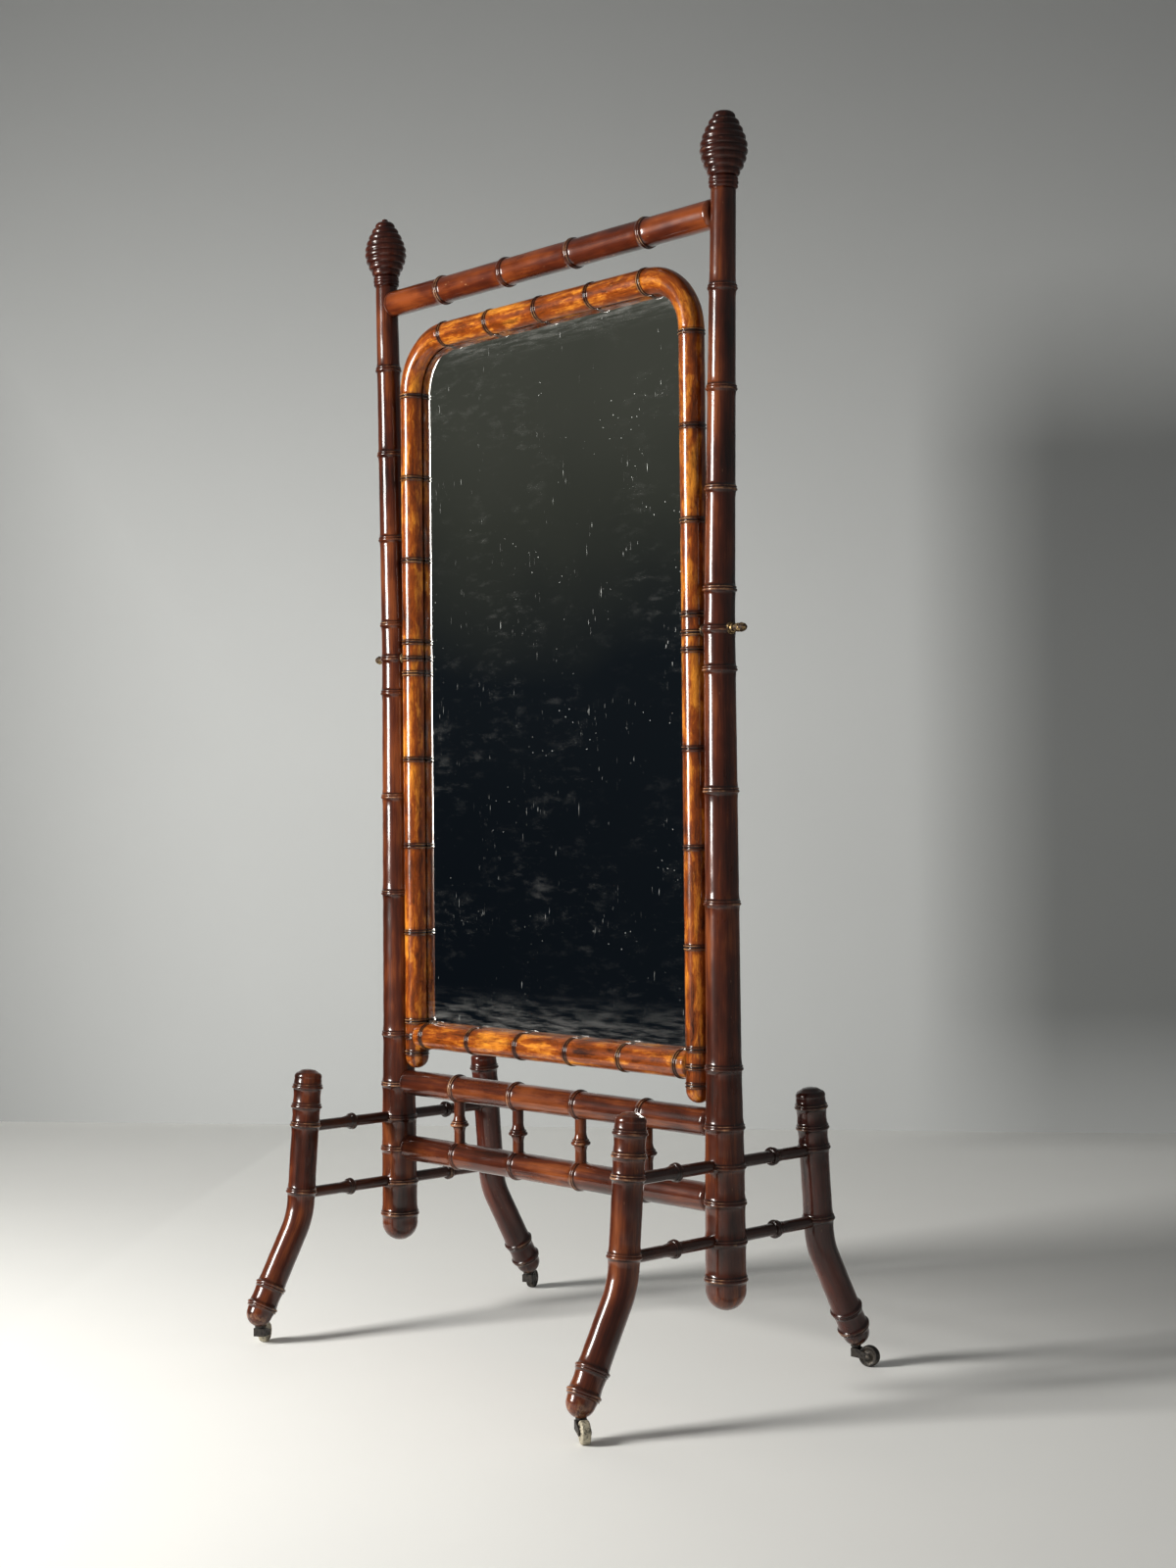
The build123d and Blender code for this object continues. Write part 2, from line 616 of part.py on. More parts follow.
def pivot_plate():
    """A brass plate on the stile with a boss that takes the thumbscrew's end."""
    back = PLATE_FACE_X - PLATE_THICKNESS
    plate = rod_between((back, 0, 0), (1, 0, 0), PLATE_R, PLATE_THICKNESS)
    start = (back - PLATE_BOSS_LENGTH, 0, 0)
    return plate + rod_between(start, (1, 0, 0), PLATE_BOSS_R, PLATE_BOSS_LENGTH + 1)


def plate_screws():
    """Two small screws that hold the plate, above and below the axis."""
    shape = Profile(0, -PLATE_SCREW_LENGTH).line(PLATE_SCREW_R, -PLATE_SCREW_LENGTH + PLATE_SCREW_POINT)
    shape.line(PLATE_SCREW_R, -PLATE_SCREW_HEAD_DEPTH).line(PLATE_SCREW_HEAD_R, -SCREW_HEAD_RIM)
    shape.line(PLATE_SCREW_HEAD_R, 0)
    screw = lay_along_x(shape.solid())
    return [Pos(PLATE_FACE_X, 0, z) * screw for z in (-PLATE_SCREW_OFFSET, PLATE_SCREW_OFFSET)]


def pivot_shaft():
    """The steel shaft, with a thinner end that is screwed and pinned in the knob."""
    shape = Profile(0, SHAFT_TIP_X).line(SHAFT_R - SHAFT_CHAMFER, SHAFT_TIP_X)
    shape.line(SHAFT_R, SHAFT_TIP_X + SHAFT_CHAMFER).line(SHAFT_R, KNOB_START_X)
    shape.line(SHAFT_END_R, KNOB_START_X).line(SHAFT_END_R, KNOB_START_X + SHAFT_IN_KNOB)
    return lay_along_x(shape.solid())


def thumbscrew():
    """The turned brass knob: base disc, neck, barrel, cap and acorn point."""
    shape = Profile(KNOB_BASE_R, KNOB_START_X)
    for radius, distance, proud in KNOB_STEPS:
        if proud:
            shape.bead(radius, KNOB_START_X + distance, proud)
        else:
            shape.line(radius, KNOB_START_X + distance)
    shape.cap(KNOB_START_X + KNOB_LENGTH)
    return lay_along_x(shape.solid()) - pivot_shaft()


def mirrored(piece, side):
    """A piece drawn for the right side, mirrored over for the left."""
    return piece if side > 0 else piece.mirror(Plane.YZ)


# Casters, drawn at the swivel axis with the wheel trailing towards +X

def caster_collar():
    """A collar under the toe with its sleeve inside the leg."""
    shape = Profile(COLLAR_R - 1, COLLAR_BOTTOM_Z).line(COLLAR_R, COLLAR_BOTTOM_Z + 1)
    shape.line(COLLAR_R, COLLAR_TOP_Z).line(SLEEVE_R, COLLAR_TOP_Z).line(SLEEVE_R, SLEEVE_TOP_Z)
    hole = PINTLE_TOP_Z + 1 - COLLAR_BOTTOM_Z
    bore = rod_between((0, 0, COLLAR_BOTTOM_Z), (0, 0, 1), PINTLE_R + SHAFT_CLEARANCE, hole)
    return shape.solid(), bore


def caster_horn():
    """The forked horn: block, pintle and two cheeks that hold the axle pin."""
    inner = WHEEL_WIDTH / 2 + CHEEK_GAP
    outer = inner + CHEEK_THICKNESS
    depth, tall = 2 * HORN_BLOCK_HALF, HORN_TOP_Z - HORN_BOTTOM_Z
    horn = Pos(0, 0, (HORN_TOP_Z + HORN_BOTTOM_Z) / 2) * Box(depth, 2 * outer, tall)
    horn = horn + rod_between((0, 0, HORN_BOTTOM_Z), (0, 0, 1), PINTLE_R, PINTLE_TOP_Z - HORN_BOTTOM_Z)
    inside_eye = CHEEK_EYE_R - 0.1
    corners = [
        (-HORN_BLOCK_HALF, HORN_BOTTOM_Z),
        (TRAIL, WHEEL_R - inside_eye),
        (TRAIL, WHEEL_R + inside_eye),
        (HORN_BLOCK_HALF, HORN_TOP_Z),
        (-HORN_BLOCK_HALF, HORN_TOP_Z),
    ]
    flat = make_face(Polyline(*corners, close=True)) + Pos(TRAIL, WHEEL_R) * Circle(CHEEK_EYE_R)
    for side in (-1, 1):
        cheek = extrude(Plane.XZ * flat, -CHEEK_THICKNESS)
        horn = horn + Pos(0, inner if side > 0 else -outer, 0) * cheek
    return horn


def caster_axle():
    """A riveted pin across the cheeks."""
    half = WHEEL_WIDTH / 2 + CHEEK_GAP + CHEEK_THICKNESS
    shape = Profile(0, -half - AXLE_HEAD).line(AXLE_R, -half - AXLE_HEAD).line(AXLE_HEAD_R, -half)
    shape.line(AXLE_R, -half).line(AXLE_R, half).line(AXLE_HEAD_R, half).cap(half + AXLE_HEAD)
    return Pos(TRAIL, 0, WHEEL_R) * lay_along_y(shape.solid())


def caster_wheel():
    """A solid wheel with a crowned tread, dished sides and a hub."""
    half = WHEEL_WIDTH / 2
    dish = half - WHEEL_RECESS
    hub, rim = WHEEL_HUB_R + WHEEL_STEP, WHEEL_RIM_R - WHEEL_STEP
    shape = Profile(0, -half).line(WHEEL_HUB_R, -half).line(hub, -dish)
    shape.line(rim, -dish).line(WHEEL_RIM_R, -half)
    shape.line(WHEEL_R - TREAD_ROUND, -half).bead(WHEEL_R, -half + TREAD_ROUND_WIDTH, TREAD_PROUD)
    shape.line(WHEEL_R, half - TREAD_ROUND_WIDTH).bead(WHEEL_R - TREAD_ROUND, half, TREAD_PROUD)
    shape.line(WHEEL_RIM_R, half).line(rim, dish).line(hub, dish).line(WHEEL_HUB_R, half).line(0, half)
    bore = rod_between((0, 0, -half), (0, 0, 1), AXLE_R + SHAFT_CLEARANCE, WHEEL_WIDTH)
    return Pos(TRAIL, 0, WHEEL_R) * lay_along_y(shape.solid() - bore)


# The whole mirror

def build_stand(nodes):
    """Posts, finials, rails, spindles, legs, rods and the fixed pivot and caster parts."""
    blanks = {name: post_blank(side) for name, side in SIDES.items()}
    cuts = {name: [] for name in SIDES}
    rails = {}
    for name, height, radius, rings in (
        ("top_rail", TOP_RAIL_Z, TOP_RAIL_R, TOP_RAIL_RINGS),
        ("upper_stretcher", UPPER_STRETCHER_Z, STRETCHER_R, STRETCHER_RINGS),
        ("lower_stretcher", LOWER_STRETCHER_Z, STRETCHER_R, STRETCHER_RINGS),
    ):
        rails[name], tenon = fitted_rail(height, radius, rings, blanks)
        for side in SIDES:
            cuts[side].append(tenon)

    stretchers = [rails["upper_stretcher"], rails["lower_stretcher"]]
    for number, x in enumerate(STRETCHER_RINGS, 1):
        nodes[f"gallery_spindle_{number}"], tenon = spindle(x, stretchers)
        rails["upper_stretcher"] -= tenon
        rails["lower_stretcher"] -= tenon
    nodes.update(rails)

    for name, side in SIDES.items():
        nodes[f"{name}_finial"] = finial(side, button=side < 0)
        dowel = Profile(FINIAL_DOWEL_R, POST_TOP_Z - FINIAL_DOWEL_LENGTH).line(FINIAL_DOWEL_R, POST_TOP_Z)
        cuts[name].append(leaning(dowel.solid(), side))
        bush = Pos(0, 0, PIVOT_Z) * mirrored(pivot_bush(), side)
        cuts[name].append(bush)
        bore = Pos(0, 0, PIVOT_Z) * mirrored(shaft_bore(BUSH_INNER_X, BUSH_OUTER_X), side)
        nodes[f"{name}_pivot_bush"] = bush - bore

    leg = leg_blank()
    collar, bore = caster_collar()
    toe = toe_centre()[0]
    for end, forward in ENDS.items():
        for name, side in SIDES.items():
            here = leg if forward > 0 else leg.mirror(Plane.XZ)
            here = Pos(side * POST_X, 0, 0) * here
            seat = Pos(side * POST_X, forward * toe, 0)
            leg_solid = here - seat * collar
            for level, height in (("upper", ROD_UPPER_Z), ("lower", ROD_LOWER_Z)):
                body, tenon = rod(height)
                if forward < 0:
                    body, tenon = body.mirror(Plane.XZ), tenon.mirror(Plane.XZ)
                body, tenon = Pos(side * POST_X, 0, 0) * body, Pos(side * POST_X, 0, 0) * tenon
                nodes[f"{end}_{name}_{level}_rod"] = (body - here - blanks[name]) + tenon
                leg_solid = leg_solid - tenon
                cuts[name].append(tenon)
            nodes[f"{end}_{name}_leg"] = leg_solid
            nodes[f"{end}_{name}_caster_collar"] = seat * (collar - bore)

    for name, blank in blanks.items():
        for cut in cuts[name]:
            blank = blank - cut
        nodes[f"{name}_post"] = blank


def build_mirror(nodes):
    """The swinging frame with its glass, backboard and pivot plates."""
    space = rebate()
    screws = board_screws()
    raise_up = Pos(0, 0, PIVOT_Z)
    stiles = {name: stile_blank(side) for name, side in SIDES.items()}
    top = frame_rail(STILE_X - CORNER_R, FRAME_TOP_R, FRAME_TOP_RINGS, FRAME_TOP)
    bottom = frame_rail(STILE_X - STILE_R + FRAME_COPE, FRAME_BOTTOM_R, FRAME_BOTTOM_RINGS, FRAME_BOTTOM)
    for stile in stiles.values():
        bottom = bottom - stile
    tenon_half = STILE_X - STILE_R + FRAME_DOWEL_LENGTH
    tenon = rod_between((-tenon_half, 0, FRAME_BOTTOM), (1, 0, 0), FRAME_DOWEL_R, 2 * tenon_half)
    pieces = {"frame_bottom_rail": (bottom - space) + tenon}

    for name, side in SIDES.items():
        bend, dowels = corner(side)
        bend = bend - space
        plate = mirrored(pivot_plate(), side)
        small = [mirrored(screw, side) for screw in plate_screws()]
        stile = stiles[name] - space - dowels - tenon - plate
        stile = stile - shaft_cut(side)
        for screw in small:
            stile, plate = stile - screw, plate - screw
        nodes[f"{name}_pivot_plate"] = raise_up * (plate - shaft_cut(side))
        nodes.setdefault("pivot_plate_screws", []).extend(raise_up * screw for screw in small)
        pieces[f"frame_{name}_stile"] = stile
        pieces[f"frame_{name}_corner"] = bend + dowels
        top = top - dowels
    pieces["frame_top_rail"] = top - space
    board_front = GLASS_FRONT_Y + GLASS_THICKNESS
    pieces["backboard"] = slab(BOARD_POCKET_INSET + BOARD_GAP, board_front, board_front + BOARD_THICKNESS)

    for name, piece in pieces.items():
        for screw in screws:
            piece = piece - screw
        nodes[name] = raise_up * piece
    nodes["backboard_screws"] = [raise_up * screw for screw in screws]
    nodes["mirror_glass"] = raise_up * glass()
    nodes["glass_blocks"] = [raise_up * piece for piece in glass_blocks()]


def shaft_cut(side):
    """The bore for the thumbscrew's end in the plate and the stile."""
    return mirrored(shaft_bore(SHAFT_TIP_X - 1, PLATE_FACE_X + 1), side)


def build_turning_parts(nodes):
    """Thumbscrews with their shafts, caster horns, axles and wheels."""
    for name, side in SIDES.items():
        nodes[f"{name}_thumbscrew"] = Pos(0, 0, PIVOT_Z) * mirrored(thumbscrew(), side)
        nodes[f"{name}_pivot_shaft"] = Pos(0, 0, PIVOT_Z) * mirrored(pivot_shaft(), side)
    horn, axle, wheel = caster_horn(), caster_axle(), caster_wheel()
    toe = toe_centre()[0]
    for end, forward in ENDS.items():
        for name, side in SIDES.items():
            place = Pos(side * POST_X, forward * toe, 0) * Rot(0, 0, CASTER_HEADINGS[f"{end}_{name}"])
            nodes[f"{end}_{name}_caster_horn"] = place * (horn - axle)
            nodes[f"{end}_{name}_caster_axle"] = place * axle
            nodes[f"{end}_{name}_caster_wheel"] = place * wheel


def main():
    """Builds every node and writes one STEP file for each."""
    nodes = {}
    build_stand(nodes)
    build_mirror(nodes)
    build_turning_parts(nodes)
    os.makedirs("parts", exist_ok=True)
    for name, piece in nodes.items():
        solids = [piece] if not isinstance(piece, list) else piece
        body = solids[0] if len(solids) == 1 else Compound(children=solids)
        export_step(body, f"parts/{name}.step")


main()
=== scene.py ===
"""A cheval mirror in mahogany turned like bamboo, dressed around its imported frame."""

import json
import logging
import math
from dataclasses import dataclass, field
from enum import Enum
from typing import Callable

import bpy
import numpy as np
from mathutils import Matrix, Vector

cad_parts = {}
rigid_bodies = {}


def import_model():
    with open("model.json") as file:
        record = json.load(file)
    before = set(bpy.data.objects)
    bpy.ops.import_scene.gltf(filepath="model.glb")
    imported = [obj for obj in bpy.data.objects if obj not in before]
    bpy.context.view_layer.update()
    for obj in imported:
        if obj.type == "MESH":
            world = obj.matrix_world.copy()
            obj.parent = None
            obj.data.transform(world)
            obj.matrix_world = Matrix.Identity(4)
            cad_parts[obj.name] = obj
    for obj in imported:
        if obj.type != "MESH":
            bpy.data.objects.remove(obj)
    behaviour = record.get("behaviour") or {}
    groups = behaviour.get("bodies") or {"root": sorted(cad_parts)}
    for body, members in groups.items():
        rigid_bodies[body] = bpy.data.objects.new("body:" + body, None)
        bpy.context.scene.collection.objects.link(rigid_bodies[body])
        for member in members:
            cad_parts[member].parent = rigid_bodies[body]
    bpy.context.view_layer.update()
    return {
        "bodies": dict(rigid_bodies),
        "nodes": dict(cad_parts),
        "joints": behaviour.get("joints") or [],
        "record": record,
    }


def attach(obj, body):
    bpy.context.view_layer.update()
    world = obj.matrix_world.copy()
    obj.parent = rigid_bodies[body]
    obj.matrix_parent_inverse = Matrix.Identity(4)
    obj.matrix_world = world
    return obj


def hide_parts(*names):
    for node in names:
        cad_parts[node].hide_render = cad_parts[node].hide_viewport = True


MM = 0.001
SIDES = {"left": -1, "right": 1}
ENDS = {"front": -1, "back": 1}
SEEDS: dict[str, int] = {}
FIRST_SEED = 11
FAR = 1e9

# How finely the turned pieces are cut: segments round them, millimetres and samples along them.
ROUND_SEGMENTS = 72
STEP = 5.0
BEAD_SAMPLES = 9
CAP_SAMPLES = 12
FOOT_SAMPLES = 14

# The turned rings, in millimetres from their middle, and the stain on the flare beside them.
BAMBOO_HALF, BAMBOO_FLARE, BAMBOO_LIFT = 4.0, 9.0, 0.7
BAMBOO_SEAM, BAMBOO_RISE = 1.2, 0.3
BROAD_PROUD, FINE_PROUD = 1.8, 1.1
TWIN_HALF, TWIN_FLARE, TWIN_SEAM, TWIN_PROUD = 3.45, 2.0, 1.15, 1.2
FLARE_STAIN = 0.35

# How far stain and toe wear fade along a piece, and the radius from which the hand shows, in millimetres.
STAIN_REACH = 5.0
TOE_FADE = 14
UNEVEN_FROM = 8

# The waves of a hand-turned surface: how many, their lengths in millimetres and their lobes round a piece.
WAVES = 7
WAVE_LENGTHS = (28, 170)
MOST_LOBES = 3

log = logging.getLogger("cheval mirror")


def srgb(red: int, green: int, blue: int) -> tuple:
    """Turns a colour as seen on a screen into a linear one.

    Args:
        red: its red part, 0 to 255.
        green: its green part.
        blue: its blue part.

    Returns:
        The three linear parts and an alpha of 1.
    """
    def linear(value: int) -> float:
        """One part without the screen's curve."""
        share = value / 255
        return share / 12.92 if share <= 0.04045 else ((share + 0.055) / 1.055) ** 2.4
    return linear(red), linear(green), linear(blue), 1.0


class Value:
    """A shader socket whose arithmetic adds Math nodes."""

    def __init__(self, graph: "Graph", socket: bpy.types.NodeSocket) -> None:
        """Keeps the graph and the output socket."""
        self.graph, self.socket = graph, socket

    def _math(self, operation: str, *values: "Value | float") -> "Value":
        """Adds one Math node over the given values."""
        return self.graph.node("ShaderNodeMath", dict(enumerate(values)), operation=operation)

    def __add__(self, other: "Value | float") -> "Value":
        """Sum."""
        return self._math("ADD", self, other)

    __radd__ = __add__

    def __sub__(self, other: "Value | float") -> "Value":
        """Difference."""
        return self._math("SUBTRACT", self, other)

    def __rsub__(self, other: "Value | float") -> "Value":
        """Reflected difference."""
        return self._math("SUBTRACT", other, self)

    def __mul__(self, other: "Value | float") -> "Value":
        """Product."""
        return self._math("MULTIPLY", self, other)

    def __pow__(self, power: float) -> "Value":
        """Power."""
        return self._math("POWER", self, power)

    def between(self, low: float, high: float) -> "Value":
        """A smooth step from 0 at low to 1 at high.

        Args:
            low: where the step starts.
            high: where it ends.

        Returns:
            The stepped value.
        """
        return self.graph.node(
            "ShaderNodeMapRange",
            {"Value": self, "From Min": low, "From Max": high, "To Min": 0.0, "To Max": 1.0},
            interpolation_type="SMOOTHSTEP",
        )

    def larger(self, other: "Value | float") -> "Value":
        """The larger of two values."""
        return self._math("MAXIMUM", self, other)


class Graph:
    """One material's nodes."""

    def __init__(self, name: str) -> None:
        """Makes the material with an empty node tree.

        Args:
            name: the material's name.
        """
        self.material = bpy.data.materials.new(name)
        self.material.use_nodes = True
        self.tree = self.material.node_tree
        self.tree.nodes.clear()

    def node(self, kind: str, inputs: dict | None = None, output: int | str = 0,
             **settings: object) -> Value:
        """Adds one node.

        Args:
            kind: the node's type.
            inputs: values or links for its sockets, by name or number.
            output: the socket to hand back.
            settings: its properties, set first; stops holds a ramp's places and colours.

        Returns:
            The output as a Value.
        """
        made = self.tree.nodes.new(kind)
        stops = settings.pop("stops", None)
        for key, value in settings.items():
            setattr(made, key, value)
        if stops:
            elements = made.color_ramp.elements
            while len(elements) < len(stops):
                elements.new(0.5)
            for element, (place, colour) in zip(elements, stops):
                element.position, element.color = place, colour
        for key, value in (inputs or {}).items():
            if isinstance(value, Value):
                self.tree.links.new(value.socket, made.inputs[key])
            else:
                made.inputs[key].default_value = value
        return Value(self, made.outputs[output])

    def attribute(self, name: str, output: str = "Fac") -> Value:
        """Reads one of the piece's own attributes."""
        return self.node("ShaderNodeAttribute", output=output, attribute_name=name)

    def place(self) -> Value:
        """The point on the piece in the row frame, in metres."""
        return self.node("ShaderNodeTexCoord", output="Object")

    def stretched(self, vector: Value, scale: tuple) -> Value:
        """A vector multiplied by a scale for each axis."""
        return self.node("ShaderNodeVectorMath", {0: vector, 1: scale}, operation="MULTIPLY")

    def noise(self, vector: Value, scale: tuple, detail: float = 4.0, rough: float = 0.55) -> Value:
        """Noise over a stretched vector, about 0.2 to 0.8.

        Args:
            vector: the place that the noise follows.
            scale: how fine it is along each axis, per metre.
            detail: how many finer layers it has.
            rough: how strong these are.

        Returns:
            The noise.
        """
        inputs = {"Vector": self.stretched(vector, scale), "Scale": 1.0, "Detail": detail,
                  "Roughness": rough}
        return self.node("ShaderNodeTexNoise", inputs)

    def ramp(self, factor: Value, stops: list) -> Value:
        """A colour ramp."""
        return self.node("ShaderNodeValToRGB", {"Fac": factor}, stops=stops)

    def mix(self, factor: Value | float, low: Value | tuple, high: Value | tuple) -> Value:
        """Mixes two colours."""
        return self.node("ShaderNodeMix", {0: factor, 6: low, 7: high}, output=2, data_type="RGBA")

    def cells(self, vector: Value, scale: tuple) -> Value:
        """Distances to scattered points over a stretched vector."""
        return self.node("ShaderNodeTexVoronoi", {"Vector": self.stretched(vector, scale), "Scale": 1.0})

    def axis(self, name: str) -> Value:
        """One of X, Y and Z of the place on the piece."""
        return self.node("ShaderNodeSeparateXYZ", {0: self.place()}, output=name)

    def bump(self, height: Value, distance: float, strength: float = 1.0) -> Value:
        """A bump from a height in units of the distance, in metres."""
        return self.node("ShaderNodeBump", {"Height": height, "Distance": distance, "Strength": strength})

    def finish(self, **sockets: object) -> bpy.types.Material:
        """Adds the main shader and the output.

        Args:
            sockets: values for the shader's inputs, with spaces in their names as underscores.

        Returns:
            The material.
        """
        inputs = {key.replace("_", " "): value for key, value in sockets.items()}
        shader = self.node("ShaderNodeBsdfPrincipled", inputs)
        self.node_output(shader)
        return self.material

    def node_output(self, shader: Value) -> None:
        """Links a shader to the material's output."""
        made = self.tree.nodes.new("ShaderNodeOutputMaterial")
        self.tree.links.new(shader.socket, made.inputs["Surface"])


@dataclass(frozen=True)
class PolishedWood:
    """French-polished turned wood with streaks, clouds, dark rings, worn edges and painted shade in the
    grooves between beads.
    """

    name: str
    dark: tuple
    middle: tuple
    light: tuple
    ring: tuple
    worn: tuple
    cloud: float = 0.5
    figure: float = 0.0
    ring_stain: float = 0.6
    wear: float = 0.5
    nicks: float = 0.3
    rough: float = 0.3
    coat: float = 0.8

    def material(self) -> bpy.types.Material:
        """Builds the material from the piece's grain, ring and crest attributes.

        Returns:
            The material.
        """
        g = Graph(self.name)
        grain = g.attribute("grain", "Vector")
        streak = g.noise(grain, (75.0, 75.0, 5.0), 6.0, 0.62)
        pores = g.noise(grain, (900.0, 900.0, 28.0), 2.0, 0.6)
        cloud = g.noise(grain, (16.0, 16.0, 9.0), 3.0, 0.5)
        bend = g.noise(grain, (26.0, 26.0, 20.0), 3.0, 0.6)
        curl = g.noise(g.node("ShaderNodeVectorMath", {0: g.stretched(grain, (55.0, 55.0, 14.0)), 1: bend}),
                       (1.0, 1.0, 1.0), 5.0, 0.7)
        plain = streak * (1 - self.cloud) + cloud * self.cloud
        tone = plain * (1 - self.figure) + curl * self.figure
        tone = tone + (pores - 0.5) * 0.12
        colour = g.ramp(tone, [(0.36, self.dark), (0.5, self.middle), (0.63, self.light)])
        mottle = g.noise(grain, (80.0, 80.0, 15.0), 6.0, 0.75).between(0.5, 0.68)
        colour = g.mix(mottle * (0.25 + self.figure * 0.75), colour, self.dark)
        stain = g.attribute("ring") * self.ring_stain
        colour = g.mix(stain, colour, self.ring)
        # Painted shade: the grooves where beads meet and end are darkened nearly to black.
        hollow = (g.attribute("ring") - g.attribute("crest") * 1.6).between(0.4, 1.0)
        colour = g.mix(hollow * 0.85, colour, srgb(18, 8, 6))
        rub = g.noise(grain, (120.0, 120.0, 90.0), 3.0, 0.7)
        patch = g.noise(grain, (30.0, 30.0, 40.0), 3.0, 0.6).between(0.48, 0.66)
        worn = (g.attribute("crest") * 1.2 - rub).between(0.38, 0.72) * patch * self.wear
        spots = g.cells(grain, (150.0, 150.0, 55.0)).between(0.06, 0.17)
        chips = (1 - spots) * g.noise(grain, (22.0, 22.0, 12.0)).between(0.52, 0.66) * self.nicks
        toe = g.attribute("toe") * rub.between(0.5, 0.62)
        bare = worn.larger(chips).larger(toe * 0.32)
        colour = g.mix(bare, colour, self.worn)
        smear = g.noise(grain, (34.0, 34.0, 10.0), 4.0, 0.6)
        roughness = self.rough + (smear - 0.5) * 0.22 + bare * 0.25
        coat = (self.coat - bare * 0.5 * self.coat) * (0.55 + smear * 0.9)
        height = pores * 0.25 + rub * 0.3 - chips
        return g.finish(
            Base_Color=colour, Roughness=roughness, Coat_Weight=coat, Coat_Roughness=0.13, Coat_IOR=1.5,
            Specular_IOR_Level=0.12, Normal=g.bump(height, 0.00015),
        )


@dataclass(frozen=True)
class AgedMetal:
    """Brass or iron with blotches of duller, rougher tarnish over its brighter metal."""

    name: str
    bright: tuple
    dull: tuple
    metallic: float = 0.9
    rough: float = 0.35
    tarnish: float = 0.5

    def material(self) -> bpy.types.Material:
        """Builds the material.

        Returns:
            The material.
        """
        g = Graph(self.name)
        place = g.place()
        blotch = g.noise(place, (210.0, 210.0, 210.0), 5.0, 0.65)
        grit = g.noise(place, (1500.0, 1500.0, 1500.0), 3.0, 0.6)
        dirt = blotch.between(0.62 - self.tarnish * 0.4, 0.78 - self.tarnish * 0.3)
        colour = g.mix(dirt, self.bright, self.dull)
        return g.finish(
            Base_Color=colour, Metallic=self.metallic - dirt * 0.35 * self.metallic,
            Roughness=self.rough + dirt * 0.25 + (grit - 0.5) * 0.1, Normal=g.bump(grit + blotch, 0.0001),
        )


@dataclass(frozen=True)
class Softwood:
    """Bare aged pine with knots and grain that runs up the board."""

    name: str
    early: tuple
    late: tuple
    grime: float = 0.4

    def material(self) -> bpy.types.Material:
        """Builds the material.

        Returns:
            The material.
        """
        g = Graph(self.name)
        place = g.place()
        drift = g.noise(place, (7.0, 7.0, 1.6), 3.0)
        across = g.node("ShaderNodeSeparateXYZ", {0: place})
        bands = g.node("ShaderNodeMath", {0: (across * 190.0) + drift * 26.0}, operation="SINE")
        lines = (bands * 0.5 + 0.5) ** 3.0
        fibre = g.noise(place, (420.0, 420.0, 9.0), 4.0, 0.7)
        colour = g.mix(lines * 0.55 + (fibre - 0.5) * 0.5, self.early, self.late)
        knot = 1 - g.cells(place, (9.0, 9.0, 3.2)).between(0.02, 0.09)
        colour = g.mix(knot * 0.8, colour, srgb(58, 32, 16))
        dust = g.noise(place, (11.0, 11.0, 6.0), 5.0, 0.65).between(0.45, 0.72) * self.grime
        colour = g.mix(dust, colour, srgb(62, 50, 40))
        return g.finish(
            Base_Color=colour, Roughness=0.78 - lines * 0.08, Normal=g.bump(fibre + lines * 0.4, 0.0003),
        )


@dataclass(frozen=True)
class OldSilvering:
    """Old silvered glass: clear in its middle, hazed and spotted towards its edges.

    Its low and high are the heights of its lower and upper edge, in metres.
    """

    name: str
    silver: tuple
    haze: tuple
    low: float
    high: float

    def material(self) -> bpy.types.Material:
        """Builds the material from the distance to the plate's edge.

        Returns:
            The material.
        """
        g = Graph(self.name)
        place = g.place()
        edge = g.attribute("edge")
        z = g.axis("Z")
        cloud = g.noise(place, (26.0, 26.0, 26.0), 6.0, 0.68)
        streaks = g.noise(place, (14.0, 14.0, 110.0), 5.0, 0.7)
        foot = (1 - (z - self.low).between(0.0, 0.075)) * streaks.between(0.40, 0.72)
        head = (z - self.high).between(-0.05, 0.0) * streaks.between(0.42, 0.7)
        rim = (1 - edge.between(0.0, 0.016)) * cloud.between(0.42, 0.66)
        loss = (rim * 0.1).larger(foot * 0.15).larger(head * 0.16)
        specks = g.cells(place, (95.0, 95.0, 95.0)).between(0.035, 0.075)
        dots = (1 - specks) * g.noise(place, (9.0, 9.0, 9.0)).between(0.52, 0.62)
        slant = g.node("ShaderNodeMapping",
                       {"Vector": place, "Rotation": (0.0, 0.5, 0.0), "Scale": (700.0, 1.0, 30.0)})
        hairs = g.node("ShaderNodeTexNoise", {"Vector": slant, "Scale": 1.0, "Detail": 2.0})
        hairs = hairs.between(0.68, 0.73) * g.noise(place, (17.0, 17.0, 13.0)).between(0.53, 0.62)
        smear = g.noise(place, (22.0, 22.0, 60.0), 6.0, 0.72).between(0.5, 0.72)
        drift = g.noise(place, (4.0, 4.0, 5.0), 3.0, 0.6).between(0.42, 0.66)
        marks = dots.larger(hairs * 0.8)
        pale = loss.larger(marks).larger(smear * drift * 0.035)
        colour = g.mix(pale, self.silver, self.haze)
        return g.finish(
            Base_Color=colour, Metallic=1.0 - pale * 0.8,
            Roughness=0.012 + pale * 0.4 + cloud * 0.012, Normal=g.bump(cloud, 0.00005, 0.3),
        )


class RingStyle(Enum):
    """The turned rings' forms."""

    BAMBOO = "a broad bead and a fine one"
    TWIN = "two thin beads with a flat between them"


